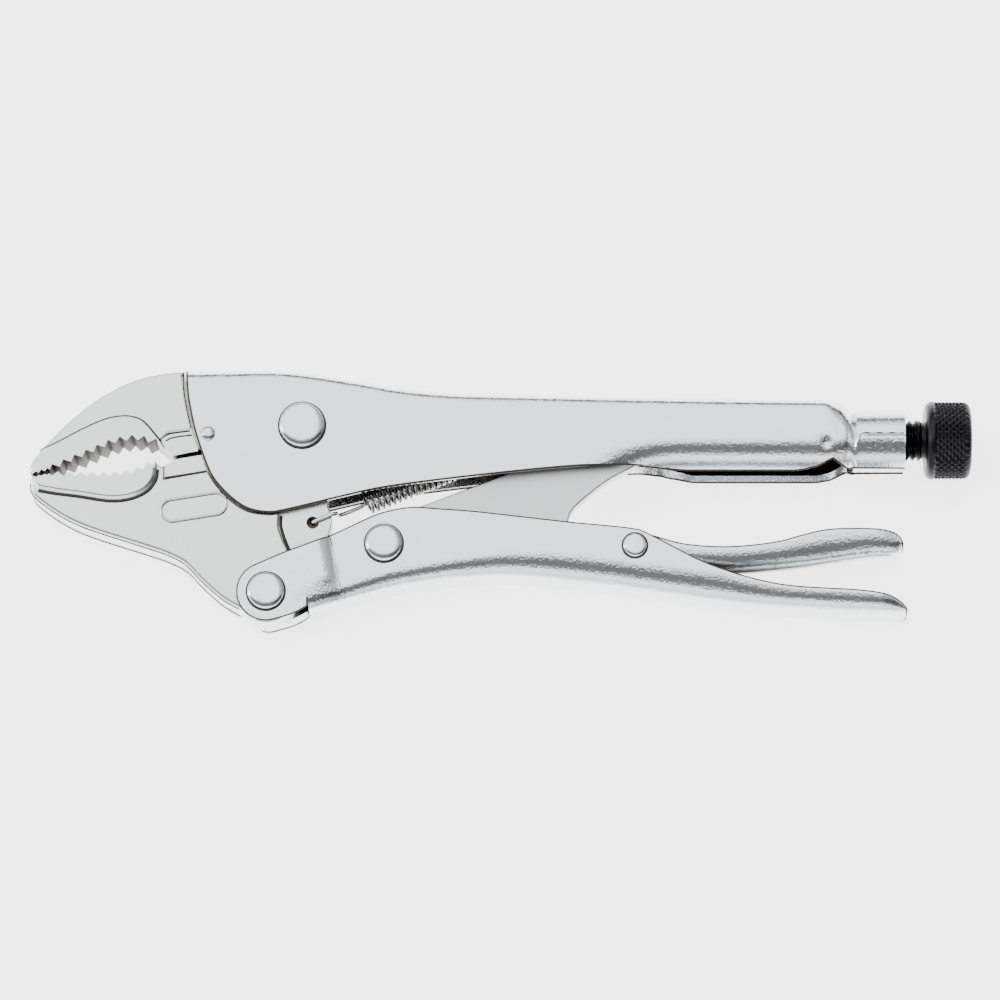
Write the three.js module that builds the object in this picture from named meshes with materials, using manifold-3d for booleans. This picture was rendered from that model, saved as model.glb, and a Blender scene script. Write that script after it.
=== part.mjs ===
// Locking pliers with curved jaws, a wire cutter and a knurled adjusting screw.
// Millimetres. The tool lies on its side: +X runs from the jaws to the screw, +Y from the lever handle
// to the fixed handle, +Z is the thickness. Outlines are drawn about the tool's middle plane (z = 0)
// and everything is lifted by LIFT at the end, so the lowest rivet head stands on z = 0.
import * as THREE from "three";
import { mergeVertices } from "three/addons/utils/BufferGeometryUtils.js";
import initManifold from "manifold-3d";

// ---- driving dimensions -------------------------------------------------------------------------
const LIFT = 10.35; // middle plane above the table
const SHIFT_Y = -0.15; // centres the outlines on the origin

const SHEET = 2.25; // handle sheet thickness
const PLATE = 7.4; // half width over the fixed handle's side plates
const CHANNEL = PLATE - SHEET; // half width inside them
const FORK = 8.7; // half width over the lever handle's front ears
const FORK_IN = FORK - SHEET;
const JAW = 6.0; // half thickness of both jaw blades
const PAD = 6.8; // half thickness over the tooth pads
const TANG = 4.8; // half thickness of the jaw tangs inside the handle
const LINK = 3.0; // half thickness of the toggle link
const RELEASE = 4.6; // half width of the release lever
const GAP = 0.2; // running clearance at pins and faces

const JAW_PIVOT = [-47.6, 17.0]; // lower jaw in the fixed handle
const LEVER_PIVOT = [-55.9, -23.5]; // lever handle on the lower jaw
const LINK_PIVOT = [-27.9, -11.7]; // toggle link in the lever handle
const RELEASE_PIVOT = [31.9, -12.2]; // release lever in the lever handle
const UPPER_PIN = [-70.1, 15.0]; // pin through the upper jaw's tang
const SPRING_HOLE = [-45.0, -6.2]; // spring eye in the lower jaw's tang
const SPRING_TAB = [-3.6, 10.6]; // spring anchor inside the fixed handle
const SPRING_R = 2.1; // middle of the coil to the middle of the wire
const SPRING_WIRE = 0.4;

const SCREW_Y = 14.8; // axis of the adjusting screw
const SCREW_R = 4.9;
const SCREW_PITCH = 1.5;
const SCREW_TIP = 37.3; // front end of the screw
const TUBE_X = [84.2, 96.8]; // threaded tube at the end of the fixed handle
const TUBE_R = 7.33;
const KNOB_X = [101.8, 112.7]; // knurled head
const KNOB_R = 9.4;

const TOOTH_DEPTH = 1.35;

// ---- materials ----------------------------------------------------------------------------------
const nickel = new THREE.MeshStandardMaterial({ color: 0xc9ced2, metalness: 1, roughness: 0.35 });
const forged = new THREE.MeshStandardMaterial({ color: 0xc2c7ca, metalness: 1, roughness: 0.42 });
const polished = new THREE.MeshStandardMaterial({ color: 0xd6d9dc, metalness: 1, roughness: 0.2 });
const springSteel = new THREE.MeshStandardMaterial({ color: 0xa9adb0, metalness: 1, roughness: 0.3 });
const blackOxide = new THREE.MeshStandardMaterial({ color: 0x232224, metalness: 1, roughness: 0.45 });

const kit = await initManifold();
kit.setup();
const { Manifold, Mesh: SolidMesh } = kit;

// ---- helpers ------------------------------------------------------------------------------------
/** Turns a three.js geometry into a solid that can be joined and cut. */
function solid(geometry) {
  const bare = new THREE.BufferGeometry();
  bare.setAttribute("position", geometry.getAttribute("position"));
  if (geometry.index) bare.setIndex(geometry.index);
  const welded = mergeVertices(bare, 1e-4);
  return new Manifold(
    new SolidMesh({
      numProp: 3,
      vertProperties: new Float32Array(welded.getAttribute("position").array),
      triVerts: new Uint32Array(welded.index.array),
    }),
  );
}

/** Turns a solid back into a three.js mesh with a name, lifted onto the table. */
function piece(name, body, material) {
  const data = body.getMesh();
  const geometry = new THREE.BufferGeometry();
  geometry.setAttribute("position", new THREE.Float32BufferAttribute(data.vertProperties, 3));
  geometry.setIndex(Array.from(data.triVerts));
  geometry.translate(0, SHIFT_Y, LIFT);
  geometry.computeVertexNormals();
  const mesh = new THREE.Mesh(geometry, material);
  mesh.name = name;
  return mesh;
}

/** A closed outline. A pair is a corner, and a list of pairs is a smooth curve on from the last point. */
function outline(...steps) {
  const points = [];
  for (const step of steps) {
    if (!Array.isArray(step[0])) {
      points.push(new THREE.Vector2(...step));
      continue;
    }
    const run = step.map(([x, y]) => new THREE.Vector2(x, y));
    const curve = new THREE.SplineCurve([...points.slice(-1), ...run]);
    points.push(...curve.getPoints(3 * run.length));
  }
  const far = (p, i) => p.distanceTo(points[(i + 1) % points.length]) > 0.01;
  return new THREE.Shape(points.filter(far));
}

/** Points of an arc about a centre, angles in degrees. */
function arc([cx, cy], r, from, to, count) {
  return Array.from({ length: count + 1 }, (_, i) => {
    const a = ((from + ((to - from) * i) / count) * Math.PI) / 180;
    return [cx + r * Math.cos(a), cy + r * Math.sin(a)];
  });
}

/** An outline extruded through the thickness from -half to +half, with an optional rounded rim. */
function slab(shape, half, rim = 0, steps = 3) {
  const geometry = new THREE.ExtrudeGeometry(shape, {
    depth: 2 * (half - rim),
    bevelEnabled: rim > 0,
    bevelThickness: rim,
    bevelSize: rim,
    bevelOffset: -rim,
    bevelSegments: steps,
    curveSegments: 3,
    steps: 1,
  });
  geometry.translate(0, 0, -(half - rim));
  return solid(geometry);
}

/** A plan drawn as half widths along X, extruded up Y between two heights. */
function plan(widths, bottom, top) {
  const side = [...widths, ...widths.map(([x, w]) => [x, -w]).reverse()];
  const geometry = new THREE.ExtrudeGeometry(outline(...side), { depth: top - bottom, bevelEnabled: false });
  geometry.rotateX(Math.PI / 2);
  geometry.translate(0, top, 0);
  return solid(geometry);
}

/** A solid of revolution about Z at a point, from (radius, z) pairs that start and end on the axis. */
function turned([x, y], profile, sides = 28) {
  const geometry = new THREE.LatheGeometry(profile.map(([r, z]) => new THREE.Vector2(r, z)), sides);
  geometry.rotateX(Math.PI / 2);
  geometry.translate(x, y, 0);
  return solid(geometry);
}

/** The same about the screw axis, from (radius, x) pairs. */
function turnedOnScrew(profile, sides = 32) {
  const geometry = new THREE.LatheGeometry(profile.map(([r, x]) => new THREE.Vector2(r, x)), sides);
  geometry.rotateZ(-Math.PI / 2);
  geometry.translate(0, SCREW_Y, 0);
  return solid(geometry);
}

/** A round hole right through the thickness. */
function hole(at, r) {
  return turned(at, [[0, -20], [r, -20], [r, 20], [0, 20]]);
}

/** A rivet: domed head on the upper side, flat peened head below. */
function rivet(at, shank, head, grip, dome = 1.9) {
  const top = grip + GAP;
  const crown = arc([0, top], 1, 0, 90, 6).map(([c, s]) => [head * c, top + dome * (s - top)]);
  return turned(at, [
    [0, -top - 1.45],
    [head * 0.8, -top - 1.45],
    [head, -top - 1.0],
    [head, -top],
    [shank, -top],
    [shank, top],
    ...crown,
  ]);
}

/** Zigzag points: roots evenly spaced on a curve, with tips offset to one side between them. */
function teeth(curve, count, depth) {
  const path = new THREE.SplineCurve(curve.map(([x, y]) => new THREE.Vector2(x, y)));
  const points = [];
  for (let i = 0; i <= 2 * count; i += 1) {
    const p = path.getPointAt(i / (2 * count));
    const t = path.getTangentAt(i / (2 * count));
    const out = i % 2 ? depth : 0;
    points.push([p.x + t.y * out, p.y - t.x * out]);
  }
  return points;
}

// ---- jaws ---------------------------------------------------------------------------------------
const UPPER_ROOTS = [[-112.5, 5.6], [-107.3, 7.55], [-99.4, 11.0], [-93.0, 13.8], [-87.2, 14.7], [-82.6, 13.7]];
const LOWER_ROOTS = [[-83.2, 7.8], [-88, 5.6], [-93.5, 4.8], [-101, 4.9], [-107.3, 4.95]];

function upperJaw() {
  const fine = [
    [-111.9, 5.15], [-111.1, 5.8], [-110.5, 5.4], [-109.8, 6.3], [-109.1, 5.75], [-108.4, 6.6], [-107.8, 6.1],
  ];
  const bite = teeth(UPPER_ROOTS.slice(1), 9, TOOTH_DEPTH);
  const throat = [[-82.2, 13.0], [-78.5, 10.0]];
  const blade = outline(
    [-112.7, 5.5],
    [[-112.7, 7.6], [-110.2, 11.3], [-107.0, 14.9], [-103.4, 18.5], [-99.6, 21.8], [-95.3, 24.8]],
    [[-90.5, 27.4], [-85.7, 29.2], [-80.9, 30.2], [-76.0, 30.6]],
    [-76.0, 28.0],
    [[-75.3, 23.3], [-73.8, 16.4], [-72.3, 11.3]],
    ...throat.slice().reverse(),
    ...bite.slice().reverse(),
    ...fine.slice().reverse(),
  );
  const pad = outline(
    [-112.5, 5.8],
    [-110.2, 10.4],
    [[-106.3, 12.7], [-100.3, 15.8], [-96.2, 18.2], [-91.0, 19.6], [-86.5, 18.8], [-83.8, 16.6], [-81.0, 13.4]],
    [-80.2, 11.6],
    throat[0],
    ...bite.slice().reverse(),
    ...fine.slice().reverse(),
  );
  const tang = outline(
    [-77, 12.2],
    [-72.3, 11.7],
    ...arc(JAW_PIVOT, 10.6, 206, 108, 8),
    [-52.0, 28.3],
    [-77, 28.3],
  );
  return slab(blade, JAW)
    .add(slab(pad, PAD))
    .add(slab(tang, TANG))
    .subtract(hole(UPPER_PIN, 1.75 + GAP));
}

function lowerJaw() {
  const fine = [
    [-107.9, 5.6], [-108.5, 5.15], [-109.2, 5.4], [-109.8, 4.95], [-110.5, 5.1], [-111.1, 4.7], [-111.9, 4.9],
  ];
  const bite = teeth(LOWER_ROOTS, 9, 1.1);
  const lug = arc(LEVER_PIVOT, 7.2, 215, 372, 12);
  const blade = outline(
    [-112.6, 4.6],
    [[-112.5, 3.2], [-111.6, 0.1], [-105.8, -4.3], [-98.9, -7.7], [-85.2, -12.2], [-79.7, -14.1], [-75.2, -16.5]],
    [[-71.3, -20.5], [-66.7, -24.6], [-62.4, -27.2]],
    ...lug,
    [-50.9, -12.8],
    [-53.1, -6.9],
    [-52.9, -4.3],
    [[-55.4, -4.5], [-60.0, -3.9], [-63.8, -1.8], [-67.4, 1.8], [-70.0, 5.6], [-71.8, 9.7]],
    [-79.1, 8.5],
    [-81.3, 7.2],
    [-82.6, 8.5],
    ...bite,
    ...fine,
  );
  const pad = outline(
    [-112.3, 4.5],
    [-111.2, 1.6],
    [[-105.8, 0.6], [-101.0, 0.3], [-93.5, -0.5], [-86.8, 0.5], [-83.8, 2.3], [-82.4, 4.6], [-82.2, 7.4]],
    [-82.6, 8.5],
    ...bite,
    ...fine,
  );
  const tang = outline(
    [-73.0, 7.5],
    [-71.7, 9.9],
    [-60.0, 10.9],
    ...arc(JAW_PIVOT, 9.9, 214, 0, 18),
    [-38.9, 8],
    [[-41.4, -1.0], [-40.6, -4.2], [-40.4, -6.2], [-41.1, -9.3]],
    [-50, -21],
    [-60, -16],
  );
  return slab(blade, JAW)
    .add(slab(pad, PAD))
    .add(slab(tang, TANG))
    .subtract(hole(JAW_PIVOT, 3.4 + GAP))
    .subtract(hole(LEVER_PIVOT, 2.8 + GAP))
    .subtract(hole(SPRING_HOLE, 1.5));
}

// ---- fixed handle -------------------------------------------------------------------------------
const HANDLE_TOP = [[-65, 30.8], [-55.9, 31.0], [-46.7, 30.3], [-32.9, 28.1], [-23.8, 26.5], [-14.5, 25.6]];

function fixedHandle() {
  const front = [[-75.2, 28.3], [-74.7, 23.3], [-73.3, 16.6], [-71.9, 12.0]];
  const cheek = [[-69.5, 5.8], [-66.9, 2.1], [-63.3, -1.3], [-59.8, -3.3], [-55.4, -4.0], [-52.3, -3.6]];
  const belly = [[-46.7, -2.3], [-37.4, 0.0], [-28.3, 2.0], [-14.6, 3.9], [3.7, 6.0], [18.0, 7.3], [31.2, 7.8]];
  const rear = [[75.0, 7.4], [78.0, 9.5], [82.9, 7.6]];
  const back = [[-5.4, 25.2], [31.2, 24.4], [57.4, 23.95], [79.0, 23.7]];
  const side = outline(
    [-75.4, 30.7],
    front,
    cheek,
    belly,
    [33.6, 7.4],
    [39.5, 6.3],
    [70.6, 6.2],
    ...rear,
    [84.4, 8.0],
    [84.4, 21.6],
    [82.4, 23.0],
    [...HANDLE_TOP, ...back].reverse(),
  );
  // the same sheet with its open rims pushed out of the way, so that only the folded back is rounded
  const folded = outline([-90, 30.8], [-90, -20], [95, -20], [95, 23.6], [...HANDLE_TOP, ...back].reverse());
  const room = outline(
    [-90, 28.45],
    [-90, -20],
    [80.5, -20],
    [80.5, 21.4],
    [[79.0, 21.45], [57.4, 21.7], [31.2, 22.15], [-5.4, 22.95], [-23.8, 24.25], [-46.7, 28.05], [-55.9, 28.75]],
  );
  const tube = turnedOnScrew([[0, TUBE_X[0] - 3], [TUBE_R, TUBE_X[0] - 3], [TUBE_R, TUBE_X[1]], [0, TUBE_X[1]]], 36);
  const bore = turnedOnScrew([[0, 79], [SCREW_R + GAP, 79], [SCREW_R + GAP, 99], [0, 99]], 36);
  const tab = slab(outline([-5.0, 8.2], [-2.2, 9.2], [-2.6, 10.2], [-5.4, 9.2]), CHANNEL + 0.5);
  return slab(side, PLATE)
    .intersect(slab(folded, PLATE, 2.6, 4))
    .subtract(slab(room, CHANNEL))
    .add(tube)
    .add(tab)
    .subtract(bore)
    .subtract(hole(JAW_PIVOT, 3.4 + GAP))
    .subtract(hole(UPPER_PIN, 1.75 + GAP));
}

// ---- lever handle -------------------------------------------------------------------------------
const LEVER_RIM = [[-32.9, -6.2], [-28.3, -4.3], [-21.5, -3.0], [-14.5, -3.4], [-5.4, -4.1], [15.6, -6.5]];
const LEVER_RIM_REAR = [[31.2, -8.1], [35.9, -9.8], [49.7, -16.8], [65.9, -21.5], [84.2, -23.3], [90.0, -24.0]];
const LEVER_SOLE = [[-45.4, -28.3], [-32.9, -24.6], [-23.8, -22.4], [-14.6, -21.0], [-5.5, -20.3], [3.6, -20.3]];
const LEVER_SOLE_REAR = [[22.1, -22.0], [40.6, -24.6], [61.2, -27.4], [79.7, -28.7], [92.5, -29.2]];

function leverHandle() {
  const ear = arc(LEVER_PIVOT, 6.9, 290, 115, 16);
  const tail = [[92.6, -24.3], [94.6, -25.4], [96.0, -26.9], [96.6, -28.4], [95.9, -29.2]];
  const side = outline(
    ...ear,
    [[-51.3, -14.0], [-41.2, -10.1], ...LEVER_RIM, ...LEVER_RIM_REAR, ...tail],
    [[...LEVER_SOLE, ...LEVER_SOLE_REAR].reverse()].flat(),
    [-46.4, -26.9],
    [-48.2, -28.1],
    [-50.5, -29.1],
  );
  const room = outline(
    [-75, 20],
    [-75, -40],
    [-46.6, -40],
    [-45.5, -25.9],
    [[-32.9, -22.3], [-23.8, -20.1], [-5.5, -18.0], [3.6, -18.0], [40.6, -22.3], [79.7, -26.4], [92.3, -26.9]],
    [94.2, -26.2],
    [94.2, 20],
  );
  const outer = plan([[-75, FORK], [-41.0, FORK], [-38.2, PLATE], [88, PLATE], [93.5, PLATE - 1.6], [96.9, 3.6]], -40, 20);
  const inner = plan([[-76, FORK_IN], [-41.4, FORK_IN], [-38.6, CHANNEL], [88, CHANNEL], [92, CHANNEL - 1.2], [94.2, 2.6]], -41, 21);
  return slab(side, FORK)
    .intersect(outer)
    .subtract(slab(room, FORK + 2).intersect(inner))
    .subtract(hole(LEVER_PIVOT, 2.8 + GAP))
    .subtract(hole(LINK_PIVOT, 2.4 + GAP))
    .subtract(hole(RELEASE_PIVOT, 1.7 + GAP));
}

// ---- toggle link and release lever --------------------------------------------------------------
function toggleLink() {
  const belly = [[-16.0, -17.0], [-3.0, -17.0], [8.0, -15.8], [14.5, -13.4]];
  const heel = [[16.4, -10.8], [16.0, -6.0], [17.4, -2.4], [22.1, 1.8], [26.5, 5.0], [32.4, 8.2], [34.2, 10.6]];
  const side = outline(
    ...arc(LINK_PIVOT, 6.2, 106, 290, 14),
    belly,
    heel,
    ...arc([31.3, 14.8], 3.3, -12, 100, 6),
    [-2.9, 4.4],
  );
  return slab(side, LINK).subtract(hole(LINK_PIVOT, 2.4 + GAP));
}

function releaseLever() {
  const back = [[20.6, -12.4], [26.4, -9.4], [31.6, -8.2], [35.8, -9.2], [44.1, -11.4], [54.7, -12.0]];
  const pad = [[65.5, -10.9], [78.4, -7.8], [86.9, -7.7], [91.2, -8.0], [94.4, -9.2], [96.0, -11.6], [94.6, -13.6]];
  const under = [[89.0, -14.0], [82.6, -14.8], [71.9, -16.4], [59.0, -17.6], [46.0, -17.9], [33.6, -17.4]];
  const side = outline([16.4, -15.6], [17.4, -14.4], [...back, ...pad], under, [19.4, -17.4], [16.6, -16.8]);
  const cup = outline(
    [38.5, 20],
    [[38.5, -12.2], [42.0, -14.6], [50.0, -15.8], [59.0, -15.7], [71.9, -14.5], [84.0, -12.7], [90.5, -11.6]],
    [93.6, -10.0],
    [93.6, 20],
  );
  return slab(side, RELEASE)
    .subtract(slab(cup, RELEASE - 1.6))
    .subtract(hole(RELEASE_PIVOT, 1.7 + GAP));
}

// ---- rivets and pins ----------------------------------------------------------------------------
function upperJawPin() {
  const r = 1.75;
  const end = PLATE + 0.25;
  return turned(UPPER_PIN, [[0, -end], [r - 0.3, -end], [r, -end + 0.3], [r, end - 0.3], [r - 0.3, end], [0, end]], 24);
}

// ---- spring -------------------------------------------------------------------------------------
/** The spring's centre line: out of the tang's hole, along close coils, and up to the tab. */
function springLine() {
  const start = new THREE.Vector3(...SPRING_HOLE, 0);
  const run = new THREE.Vector3(...SPRING_TAB, 0).sub(start);
  const along = run.clone().normalize();
  const across = new THREE.Vector3(-along.y, along.x, 0);
  const at = (s, u, z) => start.clone().addScaledVector(along, s).addScaledVector(across, u).setZ(z);
  const points = [at(0, 0, 3.0), at(0, 0, 4.7), at(0.9, 0, 5.5), at(4.6, 0, 5.6), at(8.6, 0, 4.2)];
  const [first, last, turns, perTurn] = [13.6, run.length() - 8.5, 16, 8];
  for (let i = 0; i <= turns * perTurn; i += 1) {
    const turn = (2 * Math.PI * i) / perTurn;
    const s = first + ((last - first) * i) / (turns * perTurn);
    points.push(at(s, SPRING_R * Math.sin(turn), SPRING_R * Math.cos(turn)));
  }
  points.push(at(last + 2.4, 0, 1.0), at(run.length() - 1.4, 0, 0.2));
  return new THREE.CatmullRomCurve3(points);
}

function spring() {
  const wire = new THREE.Shape().absarc(0, 0, SPRING_WIRE, 0, 2 * Math.PI);
  return solid(
    new THREE.ExtrudeGeometry(wire, { steps: 190, curveSegments: 3, extrudePath: springLine(), bevelEnabled: false }),
  );
}

// ---- adjusting screw ----------------------------------------------------------------------------
function adjustingScrew() {
  const root = SCREW_R - 0.75;
  const profile = [[0, SCREW_TIP], [3.2, SCREW_TIP], [SCREW_R, SCREW_TIP + 1.4], [SCREW_R, 82.0]];
  for (let x = 82.0; x < 100.0; x += SCREW_PITCH) {
    profile.push([root, x + 0.5 * SCREW_PITCH], [SCREW_R, x + SCREW_PITCH]);
  }
  const neck = profile[profile.length - 1][1];
  profile.push([4.4, neck + 0.2], [4.4, KNOB_X[0] - GAP], [2.4, KNOB_X[0] - GAP], [2.4, KNOB_X[0] + 6], [0, KNOB_X[0] + 6]);
  return turnedOnScrew(profile, 28);
}

function screwKnob() {
  const [a, b] = KNOB_X;
  return turnedOnScrew(
    [[0, a], [KNOB_R - 0.6, a], [KNOB_R, a + 0.6], [KNOB_R, b - 1.3], [KNOB_R - 0.5, b - 0.5], [KNOB_R - 1.5, b], [0, b]],
    40,
  ).subtract(turnedOnScrew([[0, a - 1], [2.4 + GAP, a - 1], [2.4 + GAP, a + 6 + GAP], [0, a + 6 + GAP]], 28));
}

// ---- assembly -----------------------------------------------------------------------------------
const group = new THREE.Group();
group.add(
  piece("fixed_handle", fixedHandle(), nickel),
  piece("upper_jaw", upperJaw(), forged),
  piece("upper_jaw_pin", upperJawPin(), polished),
  piece("jaw_pivot_rivet", rivet(JAW_PIVOT, 3.4, 5.4, PLATE), polished),
  piece("lower_jaw", lowerJaw(), forged),
  piece("lever_pivot_rivet", rivet(LEVER_PIVOT, 2.8, 4.4, FORK, 1.7), polished),
  piece("lever_handle", leverHandle(), nickel),
  piece("link_rivet", rivet(LINK_PIVOT, 2.4, 4.4, PLATE), polished),
  piece("toggle_link", toggleLink(), forged),
  piece("release_lever", releaseLever(), nickel),
  piece("release_rivet", rivet(RELEASE_PIVOT, 1.7, 2.8, PLATE, 1.1), polished),
  piece("spring", spring(), springSteel),
  piece("adjusting_screw", adjustingScrew(), blackOxide),
  piece("screw_knob", screwKnob(), blackOxide),
);

export default group;
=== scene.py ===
"""Locking pliers: the visible model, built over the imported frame.

Lengths are in millimetres in the drawing frame, whose z = 0 is the tool's middle plane. Solid.to_object
moves them to the row frame and to metres.
"""

import logging
import math
from collections.abc import Callable, Sequence
from dataclasses import dataclass, field
from enum import Enum

import bmesh
import bpy
import numpy as np
from mathutils import Matrix, Vector


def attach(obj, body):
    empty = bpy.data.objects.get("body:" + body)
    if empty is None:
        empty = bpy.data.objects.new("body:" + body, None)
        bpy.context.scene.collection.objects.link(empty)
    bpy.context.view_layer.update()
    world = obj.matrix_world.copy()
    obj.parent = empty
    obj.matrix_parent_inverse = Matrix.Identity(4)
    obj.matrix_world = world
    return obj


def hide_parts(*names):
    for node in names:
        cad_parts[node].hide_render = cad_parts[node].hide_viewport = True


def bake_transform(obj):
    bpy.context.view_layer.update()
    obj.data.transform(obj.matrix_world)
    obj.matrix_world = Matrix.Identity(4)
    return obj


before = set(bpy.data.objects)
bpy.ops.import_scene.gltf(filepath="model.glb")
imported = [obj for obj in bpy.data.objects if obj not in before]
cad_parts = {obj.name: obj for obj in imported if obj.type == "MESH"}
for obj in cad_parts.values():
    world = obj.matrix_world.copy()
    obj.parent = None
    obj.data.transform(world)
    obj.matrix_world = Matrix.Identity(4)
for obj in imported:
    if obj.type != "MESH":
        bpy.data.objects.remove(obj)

LOG = logging.getLogger("pliers")
MM = 0.001
LIFT = 10.35
SHIFT_Y = -0.15

SHEET = 2.25
PLATE = 7.4
FORK = 8.7
JAW = 6.0
PAD = 6.8
TANG = 4.8
LINK = 3.0
RELEASE = 4.6

JAW_PIVOT = (-47.6, 17.0)
LEVER_PIVOT = (-55.9, -23.5)
LINK_PIVOT = (-27.9, -11.7)
RELEASE_PIVOT = (31.9, -12.2)
UPPER_PIN = (-70.1, 15.0)
SPRING_HOLE = (-45.0, -6.2)
SPRING_TAB = (-3.6, 10.6)
SCREW_Y = 14.8
SCREW_R = 4.85
SCREW_PITCH = 1.5
TOOTH_DEPTH = 1.35

Pt = tuple[float, float]


# ---- finishes -----------------------------------------------------------------------------------
def linear(code: str) -> tuple[float, float, float, float]:
    """Turn an sRGB hex colour into linear RGBA.

    Args:
        code: six hex digits, such as "C8CDD0".

    Returns:
        The linear colour with alpha 1.
    """
    parts = [int(code[i : i + 2], 16) / 255 for i in (0, 2, 4)]
    r, g, b = (c / 12.92 if c <= 0.04045 else ((c + 0.055) / 1.055) ** 2.4 for c in parts)
    return (r, g, b, 1.0)


class Nodes:
    """A thin wrapper that adds nodes to a tree and wires them in one call."""

    def __init__(self, tree: bpy.types.NodeTree) -> None:
        """Args: tree: the tree to add to, emptied first."""
        self.tree = tree
        tree.nodes.clear()

    def add(self, kind: str, inputs: dict[str | int, object] | None = None, **settings: object) -> bpy.types.Node:
        """Add one node.

        Args:
            kind: the node's type name.
            inputs: socket name or index to a value or to another node's output socket.
            settings: attributes set on the node itself.

        Returns:
            The new node.
        """
        node = self.tree.nodes.new(kind)
        for name, value in settings.items():
            setattr(node, name, value)
        for key, value in (inputs or {}).items():
            socket = node.inputs[key]
            if isinstance(value, bpy.types.NodeSocket):
                self.tree.links.new(value, socket)
            else:
                socket.default_value = value
        return node

    def math(self, operation: str, *values: object) -> bpy.types.NodeSocket:
        """Add a math node and return its result socket."""
        inputs: dict[str | int, object] = dict(enumerate(values))
        return self.add("ShaderNodeMath", inputs, operation=operation).outputs[0]


@dataclass(frozen=True)
class Finish:
    """A metal finish: colour, roughness, the grain that breaks up its reflections, and painted shade that darkens its
    crevices towards a brown-black tint.
    """

    name: str
    colour: str
    roughness: float
    slot: str
    metallic: float = 1.0
    grain_mm: float = 0.8
    grain_height_mm: float = 0.02
    mottle: float = 0.04
    # Painted shade: the tint mixed into the colour where ambient occlusion finds nearby surfaces, how far it looks, and
    # how much.
    shade_tint: str = "4A3B30"
    shade_reach_mm: float = 14.0
    shade_share: float = 0.9

    def material(self) -> bpy.types.Material:
        """Return the Blender material, made once."""
        found = bpy.data.materials.get(self.name)
        if found:
            return found
        made = bpy.data.materials.new(self.name)
        made.use_nodes = True
        nodes = Nodes(made.node_tree)
        where = nodes.add("ShaderNodeTexCoord").outputs["Object"]
        size = {"Vector": where, "Detail": 2.0, "Roughness": 0.55}
        grain = nodes.add("ShaderNodeTexNoise", {**size, "Scale": 1.0 / (self.grain_mm * MM)}).outputs[0]
        cloud = nodes.add("ShaderNodeTexNoise", {**size, "Scale": 1.0 / (11.0 * MM)}).outputs[0]
        rough = nodes.math("MULTIPLY_ADD", cloud, 2 * self.mottle, self.roughness - 2 * self.mottle)
        rough = nodes.math("MULTIPLY_ADD", grain, 2 * self.mottle, rough)
        bump = nodes.add("ShaderNodeBump", {"Height": grain, "Distance": self.grain_height_mm * MM, "Strength": 1.0})
        # Painted shade: ambient occlusion darkens the base colour towards the shade tint in crevices, gaps, hollows and
        # undersides.
        near = nodes.add("ShaderNodeAmbientOcclusion", {"Distance": self.shade_reach_mm * MM}, samples=6).outputs["AO"]
        unshaded = nodes.add("ShaderNodeMapRange", {"Value": near, "From Min": 0.15, "From Max": 0.55}).outputs[0]
        painted_shade = nodes.math("MULTIPLY", nodes.math("SUBTRACT", 1.0, unshaded), self.shade_share)
        tone = nodes.add("ShaderNodeMix", {0: painted_shade, 6: linear(self.colour), 7: linear(self.shade_tint)}, data_type="RGBA")
        metal = {"Base Color": tone.outputs[2], "Metallic": self.metallic, "Roughness": rough, "Normal": bump.outputs[0]}
        shader = nodes.add("ShaderNodeBsdfPrincipled", metal)
        nodes.add("ShaderNodeOutputMaterial", {"Surface": shader.outputs[0]})
        return made


PLATED_SHEET = Finish("plated_sheet", "E4E9EC", 0.16, "handle_sheet", grain_mm=0.6, grain_height_mm=0.09)
PLATED_FORGING = Finish("plated_forging", "E0E3E3", 0.27, "jaw_forging", grain_mm=0.7, grain_height_mm=0.016)
POLISHED_RIVET = Finish("polished_rivet", "E6E9EC", 0.17, "rivet_steel", grain_mm=1.6, grain_height_mm=0.03, mottle=0.02)
LINK_STEEL = Finish("link_steel", "DCDFE0", 0.32, "link_steel", grain_height_mm=0.006)
SPRING_STEEL = Finish("spring_steel", "F0F2F2", 0.24, "spring_wire", shade_share=0.5, grain_height_mm=0.001)
BLACK_OXIDE = Finish("black_oxide", "29282A", 0.34, "black_steel", grain_height_mm=0.004, shade_tint="0C0B0B")
# A darker brown-grey tone painted on the toggle link's rounded rims.
DARK_LINK_RIM = Finish("dark_link_rim", "6E6760", 0.36, "handle_sheet", grain_mm=0.5)
# Painted shade: a near-black line laid at the foot of steps, in gaps, along the tube's lap and round rivet heads.
PAINTED_CREASE_SHADE = Finish("painted_crease_shade", "1E1916", 0.5, "jaw_forging", metallic=0.0)
# Painted shade and dark reflection: a dark brown line laid along the free rims of the sheets and the lower jaw's belly.
PAINTED_RIM_SHADE = Finish("painted_rim_shade", "3D352E", 0.45, "handle_sheet", metallic=0.6)
# A near-black tone painted on the jaws' tooth walls.
DARK_TOOTH_WALLS = Finish("dark_tooth_walls", "1B1B1D", 0.36, "jaw_forging", grain_mm=0.5, grain_height_mm=0.006)


# ---- outlines -----------------------------------------------------------------------------------
def spline(points: Sequence[Pt], step: float) -> list[Pt]:
    """Sample a uniform Catmull-Rom curve through points about every step millimetres, ends included."""
    p = np.array(points, float)
    ends = np.vstack([p[0], p, p[-1]])
    out: list[Pt] = []
    for i in range(len(p) - 1):
        a, b, c, d = ends[i : i + 4]
        count = max(2, round(float(np.linalg.norm(c - b)) / step))
        for t in np.arange(count) / count:
            q = 0.5 * (2 * b + (c - a) * t + (2 * a - 5 * b + 4 * c - d) * t**2 + (3 * b - a - 3 * c + d) * t**3)
            out.append((float(q[0]), float(q[1])))
    out.append((float(p[-1][0]), float(p[-1][1])))
    return out


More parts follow.
